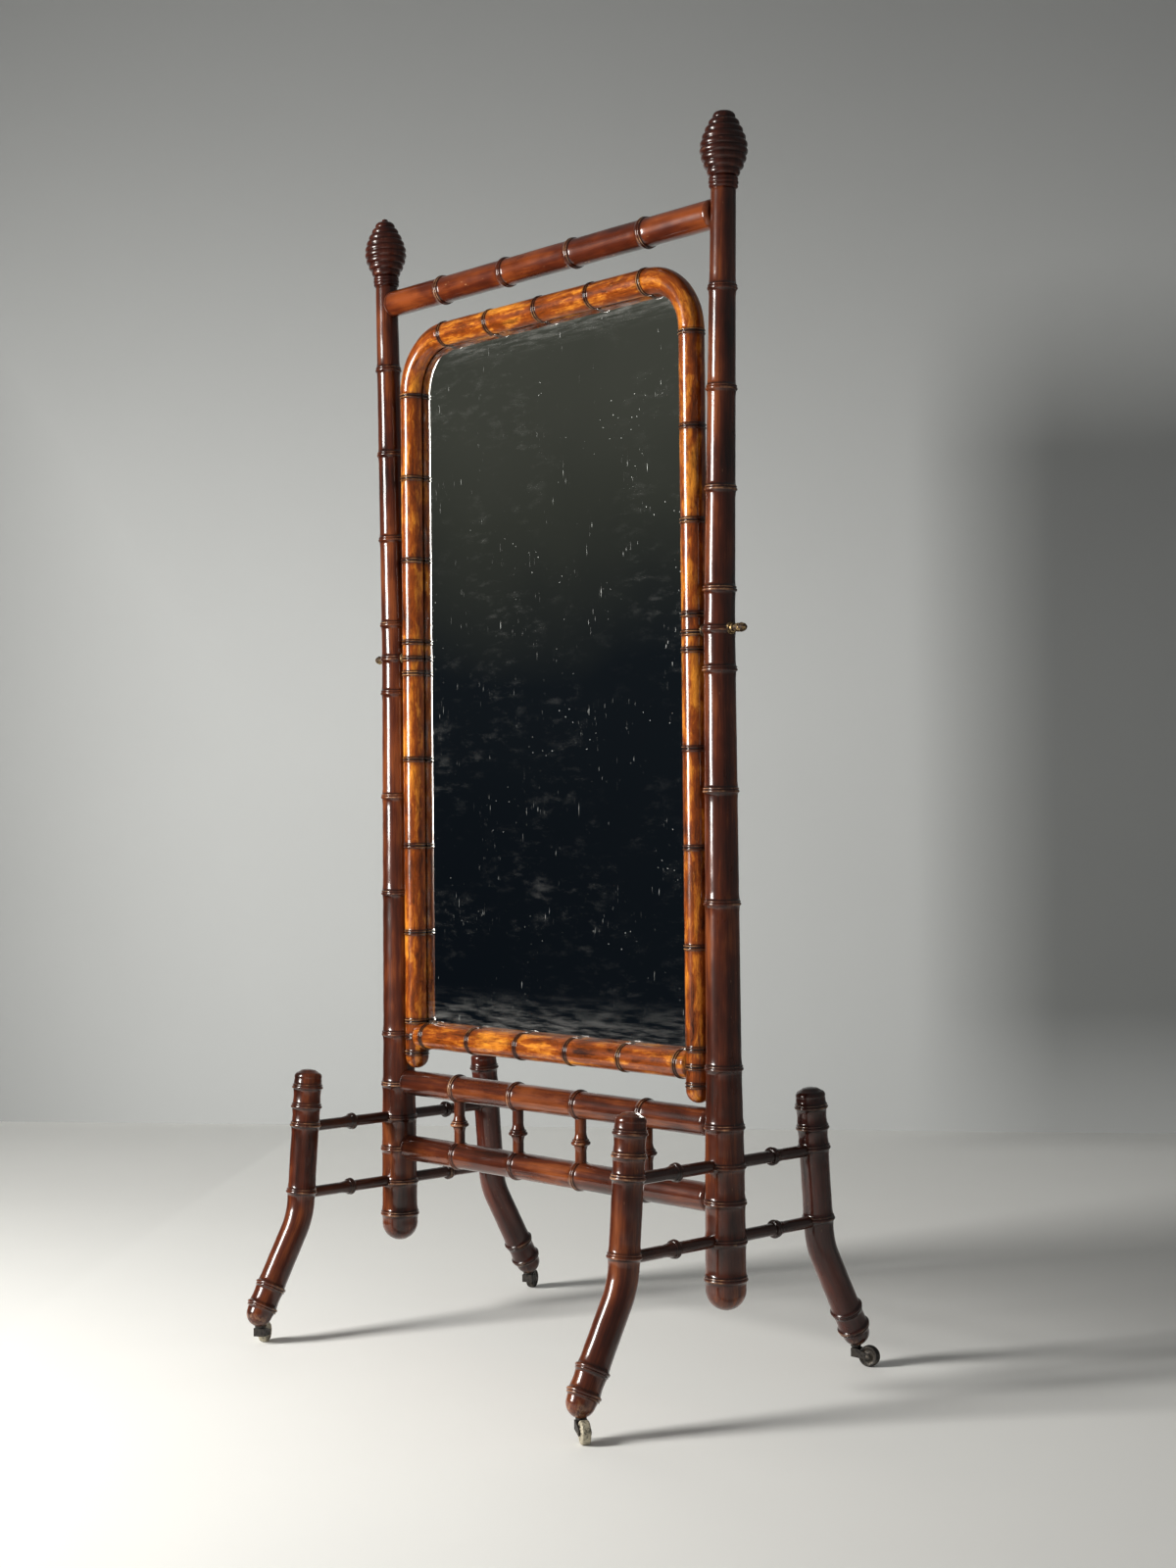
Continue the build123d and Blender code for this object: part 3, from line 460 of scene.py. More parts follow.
class Outline:
    """Half outline of a turned piece, sampled as it is drawn, in millimetres."""

    def __init__(self, radius: float, at: float) -> None:
        """Starts at a radius and a distance along the axis."""
        self.points = [(radius, at, 0.0, 0.0)]

    @property
    def radius(self) -> float:
        """The radius drawn last."""
        return self.points[-1][0]

    @property
    def at(self) -> float:
        """The distance drawn last."""
        return self.points[-1][1]

    def line(self, radius: float, at: float, ring: float = 0.0) -> "Outline":
        """A straight run, cut into short steps.

        Args:
            radius: the radius at its end.
            at: the distance at its end.
            ring: how dark it is stained.

        Returns:
            The outline.
        """
        r, t = self.radius, self.at
        count = max(1, math.ceil(math.hypot(radius - r, at - t) / STEP))
        for share in np.linspace(0, 1, count + 1)[1:]:
            self.points.append((r + share * (radius - r), t + share * (at - t), ring, 0.0))
        return self

    def bead(self, radius: float, at: float, proud: float, ring: float = 1.0) -> "Outline":
        """An arc from here that stands proud in its middle, or hollow where proud is negative.

        Args:
            radius: the radius at its end.
            at: the distance at its end.
            proud: how far its middle stands out.
            ring: how dark it is stained.

        Returns:
            The outline.
        """
        r, t = self.radius, self.at
        span = math.hypot(radius - r, at - t)
        ball = (span ** 2 / 4 + proud ** 2) / (2 * abs(proud))
        half = math.asin(min(1.0, span / 2 / ball))
        if abs(proud) > span / 2:
            half = math.pi - half
        out = np.array([at - t, -(radius - r)]) / span
        for share in np.linspace(-1, 1, BEAD_SAMPLES + 1)[1:]:
            along = 0.5 + 0.5 * math.sin(half * share) / math.sin(half)
            lift = ball * (math.cos(half * share) - math.cos(half)) * math.copysign(1, proud)
            crest = max(0.0, lift / proud) if proud > 0 else 0.0
            self.points.append((
                r + along * (radius - r) + lift * out[0], t + along * (at - t) + lift * out[1],
                ring, crest * ring,
            ))
        return self

    def cap(self, at: float) -> "Outline":
        """A rounded end that closes on the axis.

        Args:
            at: where the end meets the axis.

        Returns:
            The outline.
        """
        r, t = self.radius, self.at
        rise = at - t
        for turn in np.linspace(0, math.pi / 2, CAP_SAMPLES)[1:]:
            self.points.append((max(r * math.cos(turn), 0.02), t + rise * math.sin(turn), 0.0, 0.0))
        return self

    def dome(self, radius: float, samples: int) -> "Outline":
        """A rounded foot that opens from the axis.

        Args:
            radius: the foot's radius.
            samples: how many points draw it.

        Returns:
            The outline.
        """
        foot = self.at
        for turn in np.linspace(0, math.pi / 2, samples)[1:]:
            self.points.append((radius * math.sin(turn), foot + radius * (1 - math.cos(turn)), 0.0, 0.0))
        return self

    def bamboo(self, at: float, proud: float, upside_down: bool) -> "Outline":
        """A broad bead and a fine one on the stem's flare.

        Args:
            at: the ring's middle.
            proud: how far the broad bead stands.
            upside_down: whether the fine bead comes first.

        Returns:
            The outline.
        """
        r = self.radius
        if upside_down:
            return self.bead(r + BAMBOO_RISE, at - BAMBOO_SEAM, FINE_PROUD).bead(r, at + BAMBOO_HALF, proud)
        return self.bead(r + BAMBOO_RISE, at + BAMBOO_SEAM, proud).bead(r, at + BAMBOO_HALF, FINE_PROUD)

    def twin(self, at: float) -> "Outline":
        """Two thin beads.

        Args:
            at: the ring's middle.

        Returns:
            The outline.
        """
        r = self.radius
        self.bead(r, at - TWIN_SEAM, TWIN_PROUD).line(r, at + TWIN_SEAM, 1.0)
        return self.bead(r, at + TWIN_HALF, TWIN_PROUD)

    def stem(self, rings: list, radius: Callable, end: float, style: RingStyle = RingStyle.BAMBOO,
             proud: float = BROAD_PROUD, upside_down: bool = False) -> "Outline":
        """Carries the outline over its rings to a plain end.

        Args:
            rings: the rings' distances in order.
            radius: the stem's radius at a distance.
            end: where the stem stops.
            style: the rings' form.
            proud: how far the broad bead stands.
            upside_down: whether the fine bead comes first.

        Returns:
            The outline.
        """
        half, flare, lift = TWIN_HALF, TWIN_FLARE, 0.0
        if style is RingStyle.BAMBOO:
            half, flare, lift = BAMBOO_HALF, BAMBOO_FLARE, BAMBOO_LIFT
        for ring in rings:
            if ring - half - flare > self.at:
                self.line(radius(ring - half - flare), ring - half - flare)
            self.line(radius(ring - half) + lift, ring - half, FLARE_STAIN)
            if style is RingStyle.BAMBOO:
                self.bamboo(ring, proud, upside_down)
            else:
                self.twin(ring)
            self.line(radius(ring + half + flare), min(ring + half + flare, end))
        if end > self.at:
            self.line(radius(end), end)
        return self

    def arrays(self) -> tuple:
        """Radii, distances, ring and crest masks as arrays."""
        return tuple(np.array(column, float) for column in zip(*self.points))


def softened(mask: np.ndarray, at: np.ndarray, reach: float) -> np.ndarray:
    """Spreads a ring mask a little way along the axis, so that stain fades out.

    Args:
        mask: the mask, 1 on the rings.
        at: distances along the axis, in millimetres.
        reach: how far the stain fades, in millimetres.

    Returns:
        The softened mask.
    """
    rings = np.append(at[mask > 0.9], FAR)
    near = np.abs(at[:, None] - rings[None, :])
    return np.maximum(mask, np.clip(1 - near.min(1) / reach, 0, 1) * 0.8)


def wobble(t: np.ndarray, angle: np.ndarray, depth: float, seed: int) -> np.ndarray:
    """Slight hand-turned unevenness, never proud of the true radius.

    Args:
        t: distances along the axis, in millimetres.
        angle: angles round the axis.
        depth: the deepest hollow, in millimetres.
        seed: chooses the waves.

    Returns:
        Depths for each distance and angle.
    """
    rng = np.random.default_rng(seed)
    total = np.zeros((len(t), len(angle)))
    for _ in range(WAVES):
        length, turns = rng.uniform(*WAVE_LENGTHS), rng.integers(1, MOST_LOBES + 1)
        phase, twist = rng.uniform(0, 6.28, 2)
        total += np.sin(t[:, None] * 6.283 / length + phase + turns * (angle[None, :] + twist))
    return depth * np.clip(0.5 + total / (WAVES + 2), 0, 1)


def linked(name: str, verts: list, faces: list) -> bpy.types.Object:
    """Makes a mesh object and puts it into the scene.

    Args:
        name: the object's name.
        verts: its points, in metres.
        faces: the points of each face.

    Returns:
        The new object.
    """
    mesh = bpy.data.meshes.new(name)
    mesh.from_pydata(verts, [], faces)
    piece = bpy.data.objects.new(name, mesh)
    bpy.context.scene.collection.objects.link(piece)
    return piece


def make_piece(name: str, points: np.ndarray, grain: np.ndarray, masks: dict) -> bpy.types.Object:
    """Skins a grid of points, rows along the piece and columns round it.

    Args:
        name: the piece's name.
        points: rows by columns by three, in metres.
        grain: the same shape, the straightened place that the wood's figure follows.
        masks: numbers for each point, by attribute name.

    Returns:
        The new object.
    """
    rows, columns = points.shape[:2]
    index = np.arange(rows * columns).reshape(rows, columns)
    a, b = index[:-1], index[1:]
    quads = np.stack([a, np.roll(a, -1, 1), np.roll(b, -1, 1), b], -1).reshape(-1, 4).tolist()
    ends = [index[0, ::-1].tolist(), index[-1].tolist()]
    piece = linked(name, points.reshape(-1, 3).tolist(), quads + ends)
    mesh = piece.data
    mesh.polygons.foreach_set("use_smooth", [True] * len(mesh.polygons))
    attribute = mesh.attributes.new("grain", "FLOAT_VECTOR", "POINT")
    attribute.data.foreach_set("vector", grain.reshape(-1).astype(np.float32))
    for key, values in masks.items():
        attribute = mesh.attributes.new(key, "FLOAT", "POINT")
        flat = np.broadcast_to(values, (rows, columns)).reshape(-1)
        attribute.data.foreach_set("value", flat.astype(np.float32))
    mesh.update()
    return piece


@dataclass
class Turning:
    """A turned piece: an outline carried along a path."""

    name: str
    outline: Outline
    path: Callable
    material: bpy.types.Material
    body: str
    slot: str
    nodes: tuple
    unevenness: float = 0.28
    segments: int = ROUND_SEGMENTS
    toe_from: float = FAR
    section: Callable | None = None

    def build(self) -> bpy.types.Object:
        """Builds, dresses and seats the piece.

        Returns:
            The new object.
        """
        radius, at, ring, crest = self.outline.arrays()
        seed = len(SEEDS) + FIRST_SEED
        SEEDS[self.name] = seed
        angle = np.linspace(0, 2 * math.pi, self.segments, endpoint=False)
        calm = 1 - np.clip(ring, 0, 1)[:, None] * 0.8
        thick = np.clip(radius / UNEVEN_FROM, 0, 1)[:, None]
        true = radius[:, None] - wobble(at, angle, self.unevenness, seed) * calm * thick
        flat = np.stack([true * np.cos(angle), true * np.sin(angle)], -1)
        if self.section:
            flat = self.section(at, radius, flat)
        origin, u, v = (np.array(x, float) for x in zip(*(self.path(t) for t in at)))
        points = origin[:, None] + flat[..., :1] * u[:, None] + flat[..., 1:] * v[:, None]
        shift = np.random.default_rng(seed).uniform(-3, 3, 3)
        along = np.broadcast_to(at[:, None, None], flat.shape[:2] + (1,))
        grain = np.concatenate([flat, along], -1) * MM + shift
        masks = {
            "ring": softened(ring, at, STAIN_REACH)[:, None],
            "crest": crest[:, None],
            "toe": np.clip((at - self.toe_from) / TOE_FADE, 0, 1)[:, None],
        }
        piece = make_piece(self.name, points * MM, grain, masks)
        return seat(piece, self.material, self.body, self.slot, self.nodes)


def seat(piece: bpy.types.Object, material: bpy.types.Material, body: str, slot: str,
         nodes: tuple) -> bpy.types.Object:
    """Gives a piece its material and its place in the frame.

    Args:
        piece: the object.
        material: its finish.
        body: the body it rides on.
        slot: the record's material slot; not used.
        nodes: the nodes it stands for.

    Returns:
        The object.
    """
    piece.data.materials.append(material)
    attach(piece, body)
    if nodes:
        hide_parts(*nodes)
    log.info("%s built with %d points", piece.name, len(piece.data.vertices))
    return piece


def straight(origin: tuple, axis: tuple, side: tuple) -> Callable:
    """A straight path along an axis.

    Args:
        origin: where its distance is 0.
        axis: which way it runs.
        side: the direction of angle 0.

    Returns:
        A function from a distance to a place and the section's two directions.
    """
    start, along, u = (np.array(x, float) for x in (origin, axis, side))
    v = np.cross(along, u)
    return lambda t: (start + along * t, u, v)


def level(height: float) -> Callable:
    """A path along x at a height, whose section starts upwards and turns to the back."""
    start = np.array([0.0, 0.0, height])
    return lambda t: (start + np.array([t, 0.0, 0.0]), np.array([0.0, 0.0, 1.0]), np.array([0.0, 1.0, 0.0]))


def even(radius: float) -> Callable:
    """A stem with one radius all the way."""
    return lambda _: radius


@dataclass
class Stand:
    """Posts, finials, rails, spindles, legs and rods, in millimetres."""

    post_x: float = 366.5
    pivot_z: float = 1076.0
    lean: float = math.radians(1.5)
    foot_z: float = 125.0
    foot_r: float = 29.0
    top_z: float = 1692.0
    post_rings: tuple = (169.5, 221.5, 275.5, 326.0, 380.5, 462.5, 692.5, 850.0, 1020.0, 1076.0)
    upper_rings: tuple = (1132.0, 1272.5, 1413.0, 1553.5)
    post_taper: tuple = ((125.0, 29.0), (326.0, 27.9), (462.5, 25.2), (1076.0, 22.3), (1692.0, 18.0))
    finial_base: float = 1708.0
    finial_crown: float = 1799.0
    finial_r: float = 31.4
    fullness: float = 1.65
    neck_r: float = 17.0
    crown_r: float = 9.0
    ribs: int = 9
    rib_proud: float = 3.2
    collar: tuple = (18.8, 19.5, 20.1, 18.5)
    collar_proud: float = 1.6
    button: tuple = ((5.0, 0.01), (5.0, 3.5))
    button_top: float = 6.0
    scar: tuple = ((4.0, -0.4), (3.2, -2.2), (0.3, -2.4))
    rail_rings: tuple = (-231.0, -77.0, 77.0, 231.0)
    stretcher_rings: tuple = (-212.0, -71.0, 71.0, 212.0)
    rails: tuple = (
        ("top_rail", 1660.0, 21.0), ("upper_stretcher", 384.0, 20.4), ("lower_stretcher", 278.0, 20.4),
    )
    shoulder: float = 5.0
    shoulder_length: float = 9.0
    shoulder_proud: float = 1.5
    spindle_ring_z: float = 328.5
    spindle_foot: float = 294.0
    spindle_top: float = 366.6
    spindle_r: float = 8.7
    spindle_flare: float = 17.0
    spindle_segments: int = 56
    gallery_ring_r: tuple = (11.3, 11.9)
    gallery_ring_proud: tuple = (3.2, 1.2)
    flare_hollow: float = -1.0
    leg_bend: tuple = (199.3, 189.9)
    upper_lean: float = math.radians(4.6)
    lower_lean: float = math.radians(29.0)
    bend_r: float = 110.0
    leg_r: float = 21.6
    leg_rings: tuple = (391.7, 361.4, 332.2, 228.5)
    toe_rings: tuple = (86.5, 57.8)
    leg_top: float = 419.0
    toe_z: float = 49.0
    toe_r: float = 20.5
    leg_proud: float = 2.2
    rod_heights: dict = field(default_factory=lambda: {"upper": 328.0, "lower": 224.0})
    rod_r: float = 8.9
    rod_ring_r: tuple = (11.6, 11.2)
    rod_flare: float = 26.5
    rod_segments: int = 48
    ring_half: float = 4.5

    def post_radius(self, z: float) -> float:
        """The post's taper."""
        heights, radii = zip(*self.post_taper)
        return float(np.interp(z, heights, radii))

    def post_path(self, side: int) -> Callable:
        """A post's axis, plumb to the pivot and leaning outwards above it.

        Args:
            side: -1 for the left post, 1 for the right one.

        Returns:
            A function from a distance to a place and the section's two directions.
        """
        def path(t: float) -> tuple:
            """The axis at a distance.

            Args:
                t: the distance.

            Returns:
                The place, and the section's two directions.
            """
            above = max(0.0, t - self.pivot_z)
            turn = side * self.lean * min(1.0, max(0.0, (t - self.pivot_z + 4) / 8))
            u = (math.cos(turn), 0.0, -math.sin(turn))
            x = self.post_x + above * math.sin(self.lean)
            z = min(t, self.pivot_z) + above * math.cos(self.lean)
            return (side * x, 0.0, z), u, (0.0, 1.0, 0.0)

        return path

    def build_posts(self, finish: bpy.types.Material, knob_finish: bpy.types.Material) -> None:
        """Both posts and their finials.

        Args:
            finish: the posts' finish.
            knob_finish: the finials' finish.
        """
        for name, side in SIDES.items():
            shape = Outline(0.3, self.foot_z)
            shape.dome(self.foot_r, FOOT_SAMPLES)
            shape.stem(list(self.post_rings + self.upper_rings), self.post_radius, self.top_z)
            Turning(f"{name}_post_turned", shape, self.post_path(side), finish, "stand", "stand_mahogany",
                    (f"{name}_post",)).build()
            self.build_finial(name, side, knob_finish)

    def finial_radius(self, z: float) -> float:
        """The ovoid under the ribs.

        Args:
            z: the height.

        Returns:
            The radius there.
        """
        widest = self.finial_base + 0.42 * (self.finial_crown - self.finial_base)
        if z < widest:
            share = (widest - z) / (widest - self.finial_base)
            return self.neck_r + (self.finial_r - self.neck_r) * (1 - share ** self.fullness)
        share = min(1.0, (z - widest) / (self.finial_crown - widest))
        return self.crown_r + (self.finial_r - self.crown_r) * (1 - share ** self.fullness)

    def build_finial(self, name: str, side: int, finish: bpy.types.Material) -> None:
        """One ribbed finial. The right one has lost the button on its crown.

        Args:
            name: left or right.
            side: -1 or 1.
            finish: its finish.
        """
        shape = Outline(self.neck_r, self.top_z - 2).line(self.collar[0], self.top_z)
        for number, radius in enumerate(self.collar[1:], 1):
            height = self.top_z + number * (self.finial_base - self.top_z) / 3
            shape.bead(radius, height, self.collar_proud, 0.6)
        shape.line(self.neck_r, self.finial_base)
        rib = (self.finial_crown - self.finial_base) / self.ribs
        for number in range(1, self.ribs + 1):
            z = self.finial_base + number * rib
            shape.bead(self.finial_radius(z), z, self.rib_proud, 0.8)
        for radius, rise in self.button if side < 0 else self.scar:
            shape.line(radius, self.finial_crown + rise)
        if side < 0:
            shape.cap(self.finial_crown + self.button_top)
        Turning(f"{name}_finial_turned", shape, self.post_path(side), finish, "stand", "finial_mahogany",
                (f"{name}_finial",), 0.35).build()

    def build_rails(self, finishes: dict) -> None:
        """The top rail and the two stretchers, with rounded shoulders.

        Args:
            finishes: each rail's finish and slot, by its name.
        """
        for name, height, radius in self.rails:
            rings = self.rail_rings if name == "top_rail" else self.stretcher_rings
            axis_x = self.post_x + max(0.0, height - self.pivot_z) * math.tan(self.lean)
            reach = axis_x - self.post_radius(height) + self.shoulder
            shape = Outline(radius - self.shoulder, -reach)
            shape.bead(radius, -reach + self.shoulder_length, self.shoulder_proud, 0.8)
            shape.stem(list(rings), even(radius), reach - self.shoulder_length)
            shape.bead(radius - self.shoulder, reach, self.shoulder_proud, 0.8)
            finish, slot = finishes[name]
            Turning(f"{name}_turned", shape, straight((0, 0, height), (1, 0, 0), (0, 0, 1)), finish,
                    "stand", slot, (name,)).build()

    def build_spindles(self, finish: bpy.types.Material) -> None:
        """Four gallery spindles between the stretchers.

        Args:
            finish: their finish.
        """
        z, half, plain = self.spindle_ring_z, self.ring_half, self.spindle_r
        edge, seam = self.gallery_ring_r
        broad, fine = self.gallery_ring_proud
        for number, x in enumerate(self.stretcher_rings, 1):
            shape = Outline(plain + 0.9, self.spindle_foot).line(plain, self.spindle_foot + 6)
            shape.line(plain, z - self.spindle_flare).bead(edge, z - half, self.flare_hollow, 0.3)
            shape.bead(seam, z + 1.8, broad).bead(edge, z + half, fine)
            shape.bead(plain, z + self.spindle_flare, self.flare_hollow, 0.3).line(plain, self.spindle_top)
            path = straight((x, 0, 0), (0, 0, 1), (1, 0, 0))
            Turning(f"gallery_spindle_{number}_turned", shape, path, finish, "stand", "stand_mahogany",
                    (f"gallery_spindle_{number}",), 0.2, self.spindle_segments).build()

    def leg_path(self, side: int, forward: int) -> tuple:
        """The leg's bent axis, measured down from its top.

        Args:
            side: -1 for a left leg, 1 for a right one.
            forward: -1 for a front leg, 1 for a back one.

        Returns:
            The path, and functions from a height to a distance above and below the bend.
        """
        turn = self.lower_lean - self.upper_lean
        tangent = self.bend_r * math.tan(turn / 2)
        above = (self.leg_top - self.leg_bend[1]) / math.cos(self.upper_lean)
        straight_end = above - tangent
        arc = self.bend_r * turn

        def path(t: float) -> tuple:
            """The axis at a distance.

            Args:
                t: the distance.

            Returns:
                The place, and the section's two directions.
            """
            if t <= straight_end:
                lean = self.upper_lean
                back = above - t
                y = self.leg_bend[0] - back * math.sin(lean)
                z = self.leg_bend[1] + back * math.cos(lean)
            else:
                bent = min(t - straight_end, arc)
                lean = self.upper_lean + bent / self.bend_r
                y0 = self.leg_bend[0] - tangent * math.sin(self.upper_lean)
                z0 = self.leg_bend[1] + tangent * math.cos(self.upper_lean)
                y = y0 + self.bend_r * (math.cos(self.upper_lean) - math.cos(lean))
                z = z0 - self.bend_r * (math.sin(lean) - math.sin(self.upper_lean))
                beyond = t - straight_end - bent
                y, z = y + beyond * math.sin(lean), z - beyond * math.cos(lean)
            down = np.array([0.0, forward * math.sin(lean), -math.cos(lean)])
            u = np.array([1.0, 0.0, 0.0])
            return (side * self.post_x, forward * y, z), u, np.cross(down, u)

        def upper(z: float) -> float:
            """The distance of a height above the bend."""
            return (self.leg_top - z) / math.cos(self.upper_lean)

        def lower(z: float) -> float:
            """The distance of a height below the bend."""
            return straight_end + arc + (self.leg_bend[1] - z) / math.cos(self.lower_lean) - tangent

        return path, upper, lower

    def leg_axis_y(self, z: float) -> float:
        """How far the upper leg's axis stands from the post's."""
        return self.leg_bend[0] - (z - self.leg_bend[1]) * math.tan(self.upper_lean)

    def build_legs(self, finish: bpy.types.Material, shaded_back_finish: bpy.types.Material,
                   rod_finish: bpy.types.Material) -> None:
        """Four bent legs, each with its two rods.

        Args:
            finish: the front legs' finish.
            shaded_back_finish: the back legs' finish.
            rod_finish: the rods' finish.
        """
        for end, forward in ENDS.items():
            for name, side in SIDES.items():
                path, upper, lower = self.leg_path(side, forward)
                shape = Outline(0.3, 0.0).line(6.0, 0.35).line(11.0, 1.5).line(self.leg_r - 5, 5.0)
                shape.bead(self.leg_r, 14.0, self.leg_proud, 0.0)
                high, low = [upper(z) for z in self.leg_rings], [lower(z) for z in self.toe_rings]
                shape.stem(high, even(self.leg_r), high[-1] + 14, proud=self.leg_proud, upside_down=True)
                shape.stem(low, even(self.leg_r), low[-1] + 4, proud=self.leg_proud)
                toe = lower(self.toe_z)
                shape.line(self.toe_r, toe).cap(toe + self.toe_r)
                # The back legs take the darker copy of the mahogany, which paints shade on them.
                material = finish if forward < 0 else shaded_back_finish
                Turning(f"{end}_{name}_leg_turned", shape, path, material, "stand", "stand_mahogany",
                        (f"{end}_{name}_leg",), 0.5, toe_from=toe - 2).build()
                for place, height in self.rod_heights.items():
                    self.build_rod(f"{end}_{name}_{place}_rod", side, forward, height, rod_finish)

    def build_rod(self, name: str, side: int, forward: int, height: float,
                  finish: bpy.types.Material) -> None:
        """One thin rod from a post to its leg.

        Args:
            name: the rod's name.
            side: -1 for the left post, 1 for the right one.
            forward: -1 for a front leg, 1 for a back one.
            height: the rod's height.
            finish: its finish.
        """
        inner = self.post_radius(height) - 3
        outer = self.leg_axis_y(height) - self.leg_r + 4
        middle = (inner + outer) / 2
        plain, half = self.rod_r, self.ring_half
        seam, edge = self.rod_ring_r
        broad, fine = self.gallery_ring_proud
        shape = Outline(plain - 2, inner - 1).line(plain, inner + 3).line(plain, middle - half)
        shape.bead(seam, middle + 1.6, broad).bead(edge, middle + half, fine)
        shape.bead(plain, middle + self.rod_flare, self.flare_hollow, 0.3).line(plain, outer)
        path = straight((side * self.post_x, 0, height), (0, forward, 0), (1, 0, 0))
        Turning(f"{name}_turned", shape, path, finish, "stand", "rod_mahogany", (name,), 0.2,
                self.rod_segments).build()


@dataclass
class SwingFrame:
    """The swinging frame with its glass and back, in millimetres about the pivot."""

    pivot_z: float = 1076.0
    stile_x: float = 318.0
    stile_r: float = 18.8
    tip: float = -667.0
    top: float = 513.0
    bottom: float = -614.0
    top_r: float = 19.4
    bottom_r: float = 20.4
    corner_r: float = 85.0
    stile_rings: tuple = (
        -641.5, -615.5, -590.5, -447.0, -306.5, -166.5, -27.0, -3.0, 23.5, 156.5, 290.0, 424.5,
    )
    top_rings: tuple = (-229.0, -115.5, 0.0, 115.5, 229.0)
    bottom_rings: tuple = (-287.0, -171.5, -57.0, 57.0, 171.5, 287.0)
    glass_y: float = 7.0
    board_y: float = 12.0
    board_back: float = 18.0
    glass_inset: float = 14.5
    pocket_inset: float = 11.5
    board_inset: float = 3.0
    board_gap: float = 0.5
    bevel: float = 15.0
    bevel_depth: float = 1.2
    plate_middle: float = 0.8
    boards: int = 5
    board_seam: float = 0.4
    board_ease: float = 1.0
    screw_inset: float = 7.5
    side_screws: tuple = (-540.0, -300.0, -60.0, 180.0, 410.0)
    end_screw_x: float = 150.0
    screw_r: float = 2.9
    screw_segments: int = 40
    screw_rows: int = 14
    screw_dome: float = 0.25
    slot_half: float = 0.45
    slot_depth: float = 0.7

    def rebated(self, start: float, end: float, flip: int) -> Callable:
        """A section with the stepped rebate cut behind the moulding between two distances.

        Args:
            start: where the rebate starts along the piece.
            end: where it ends.
            flip: 1 where the glass lies towards the section's first direction, -1 otherwise.

        Returns:
            A function that cuts the section's points.
        """
        def cut(at: np.ndarray, _: np.ndarray, flat: np.ndarray) -> np.ndarray:
            """Cuts the rebate.

            Args:
                at: distances along the piece.
                _: its radii, which the rebate doesn't follow.
                flat: the section's points.

            Returns:
                The points with the rebate cut away.
            """
            inset, y = flat[..., 0] * flip, flat[..., 1].copy()
            inside = ((at > start) & (at < end))[:, None]
            y = np.where(inside & (inset > self.board_inset) & (y > self.board_y), self.board_y, y)
            y = np.where(inside & (inset > self.pocket_inset) & (y > self.glass_y), self.glass_y, y)
            return np.stack([flat[..., 0], y], -1)

        return cut

    def build_frame(self, finish: bpy.types.Material) -> None:
        """Stiles, corners and rails.

        Args:
            finish: the frame's finish.
        """
        for name, side in SIDES.items():
            shape = Outline(0.3, self.tip)
            shape.dome(self.stile_r, CAP_SAMPLES)
            shape.stem(list(self.stile_rings), even(self.stile_r), self.top - self.corner_r, RingStyle.TWIN)
            path = straight((side * self.stile_x, 0, self.pivot_z), (0, 0, 1), (1, 0, 0))
            Turning(f"frame_{name}_stile_turned", shape, path, finish, "mirror", "frame_wood",
                    (f"frame_{name}_stile",), 0.3,
                    section=self.rebated(self.bottom + self.pocket_inset, FAR, -side)).build()
            self.build_corner(name, side, finish)
        top_reach, bottom_reach = self.stile_x - self.corner_r, self.stile_x - self.stile_r + 6
        for name, reach, radius, rings, height, flip in (
            ("frame_top_rail", top_reach, self.top_r, self.top_rings, self.top, -1),
            ("frame_bottom_rail", bottom_reach, self.bottom_r, self.bottom_rings, self.bottom, 1),
        ):
            shape = Outline(radius, -reach).stem(list(rings), even(radius), reach, RingStyle.TWIN)
            Turning(f"{name}_turned", shape, level(self.pivot_z + height), finish, "mirror", "frame_wood",
                    (name,), 0.3, section=self.rebated(-FAR, FAR, flip)).build()

    def build_corner(self, name: str, side: int, finish: bpy.types.Material) -> None:
        """One quarter bend between a stile and the top rail.

        Args:
            name: left or right.
            side: -1 or 1.
            finish: its finish.
        """
        hub = np.array([side * (self.stile_x - self.corner_r), 0.0, self.pivot_z + self.top - self.corner_r])
        length = self.corner_r * math.pi / 2
        shape = Outline(self.stile_r, 0.0).line(self.stile_r, length / 2).line(self.top_r, length)

        def path(t: float) -> tuple:
            """The axis at a distance.

            Args:
                t: the distance.

            Returns:
                The place, and the section's two directions.
            """
            turn = t / self.corner_r
            out = np.array([side * math.cos(turn), 0.0, math.sin(turn)])
            return hub + out * self.corner_r, out, np.array([0.0, 1.0, 0.0])

        Turning(f"frame_{name}_corner_bent", shape, path, finish, "mirror", "frame_wood",
                (f"frame_{name}_corner",), 0.45, section=self.rebated(-FAR, FAR, -1)).build()

    def loop(self, inset: float, corner_steps: int = 20) -> np.ndarray:
        """The frame's centre line brought in by an inset.

        Args:
            inset: how far inside the centre line it runs.
            corner_steps: points in each upper corner.

        Returns:
            Points in x and z, from the lower left.
        """
        half, low, high = self.stile_x - inset, self.bottom + inset, self.top - inset
        r = self.corner_r - inset
        turns = np.linspace(0, math.pi / 2, corner_steps)
        right = [(half - r + r * math.cos(a), high - r + r * math.sin(a)) for a in turns]
        left = [(-half + r - r * math.sin(a), high - r + r * math.cos(a)) for a in turns]
        return np.array([(-half, low), (half, low)] + right + left)

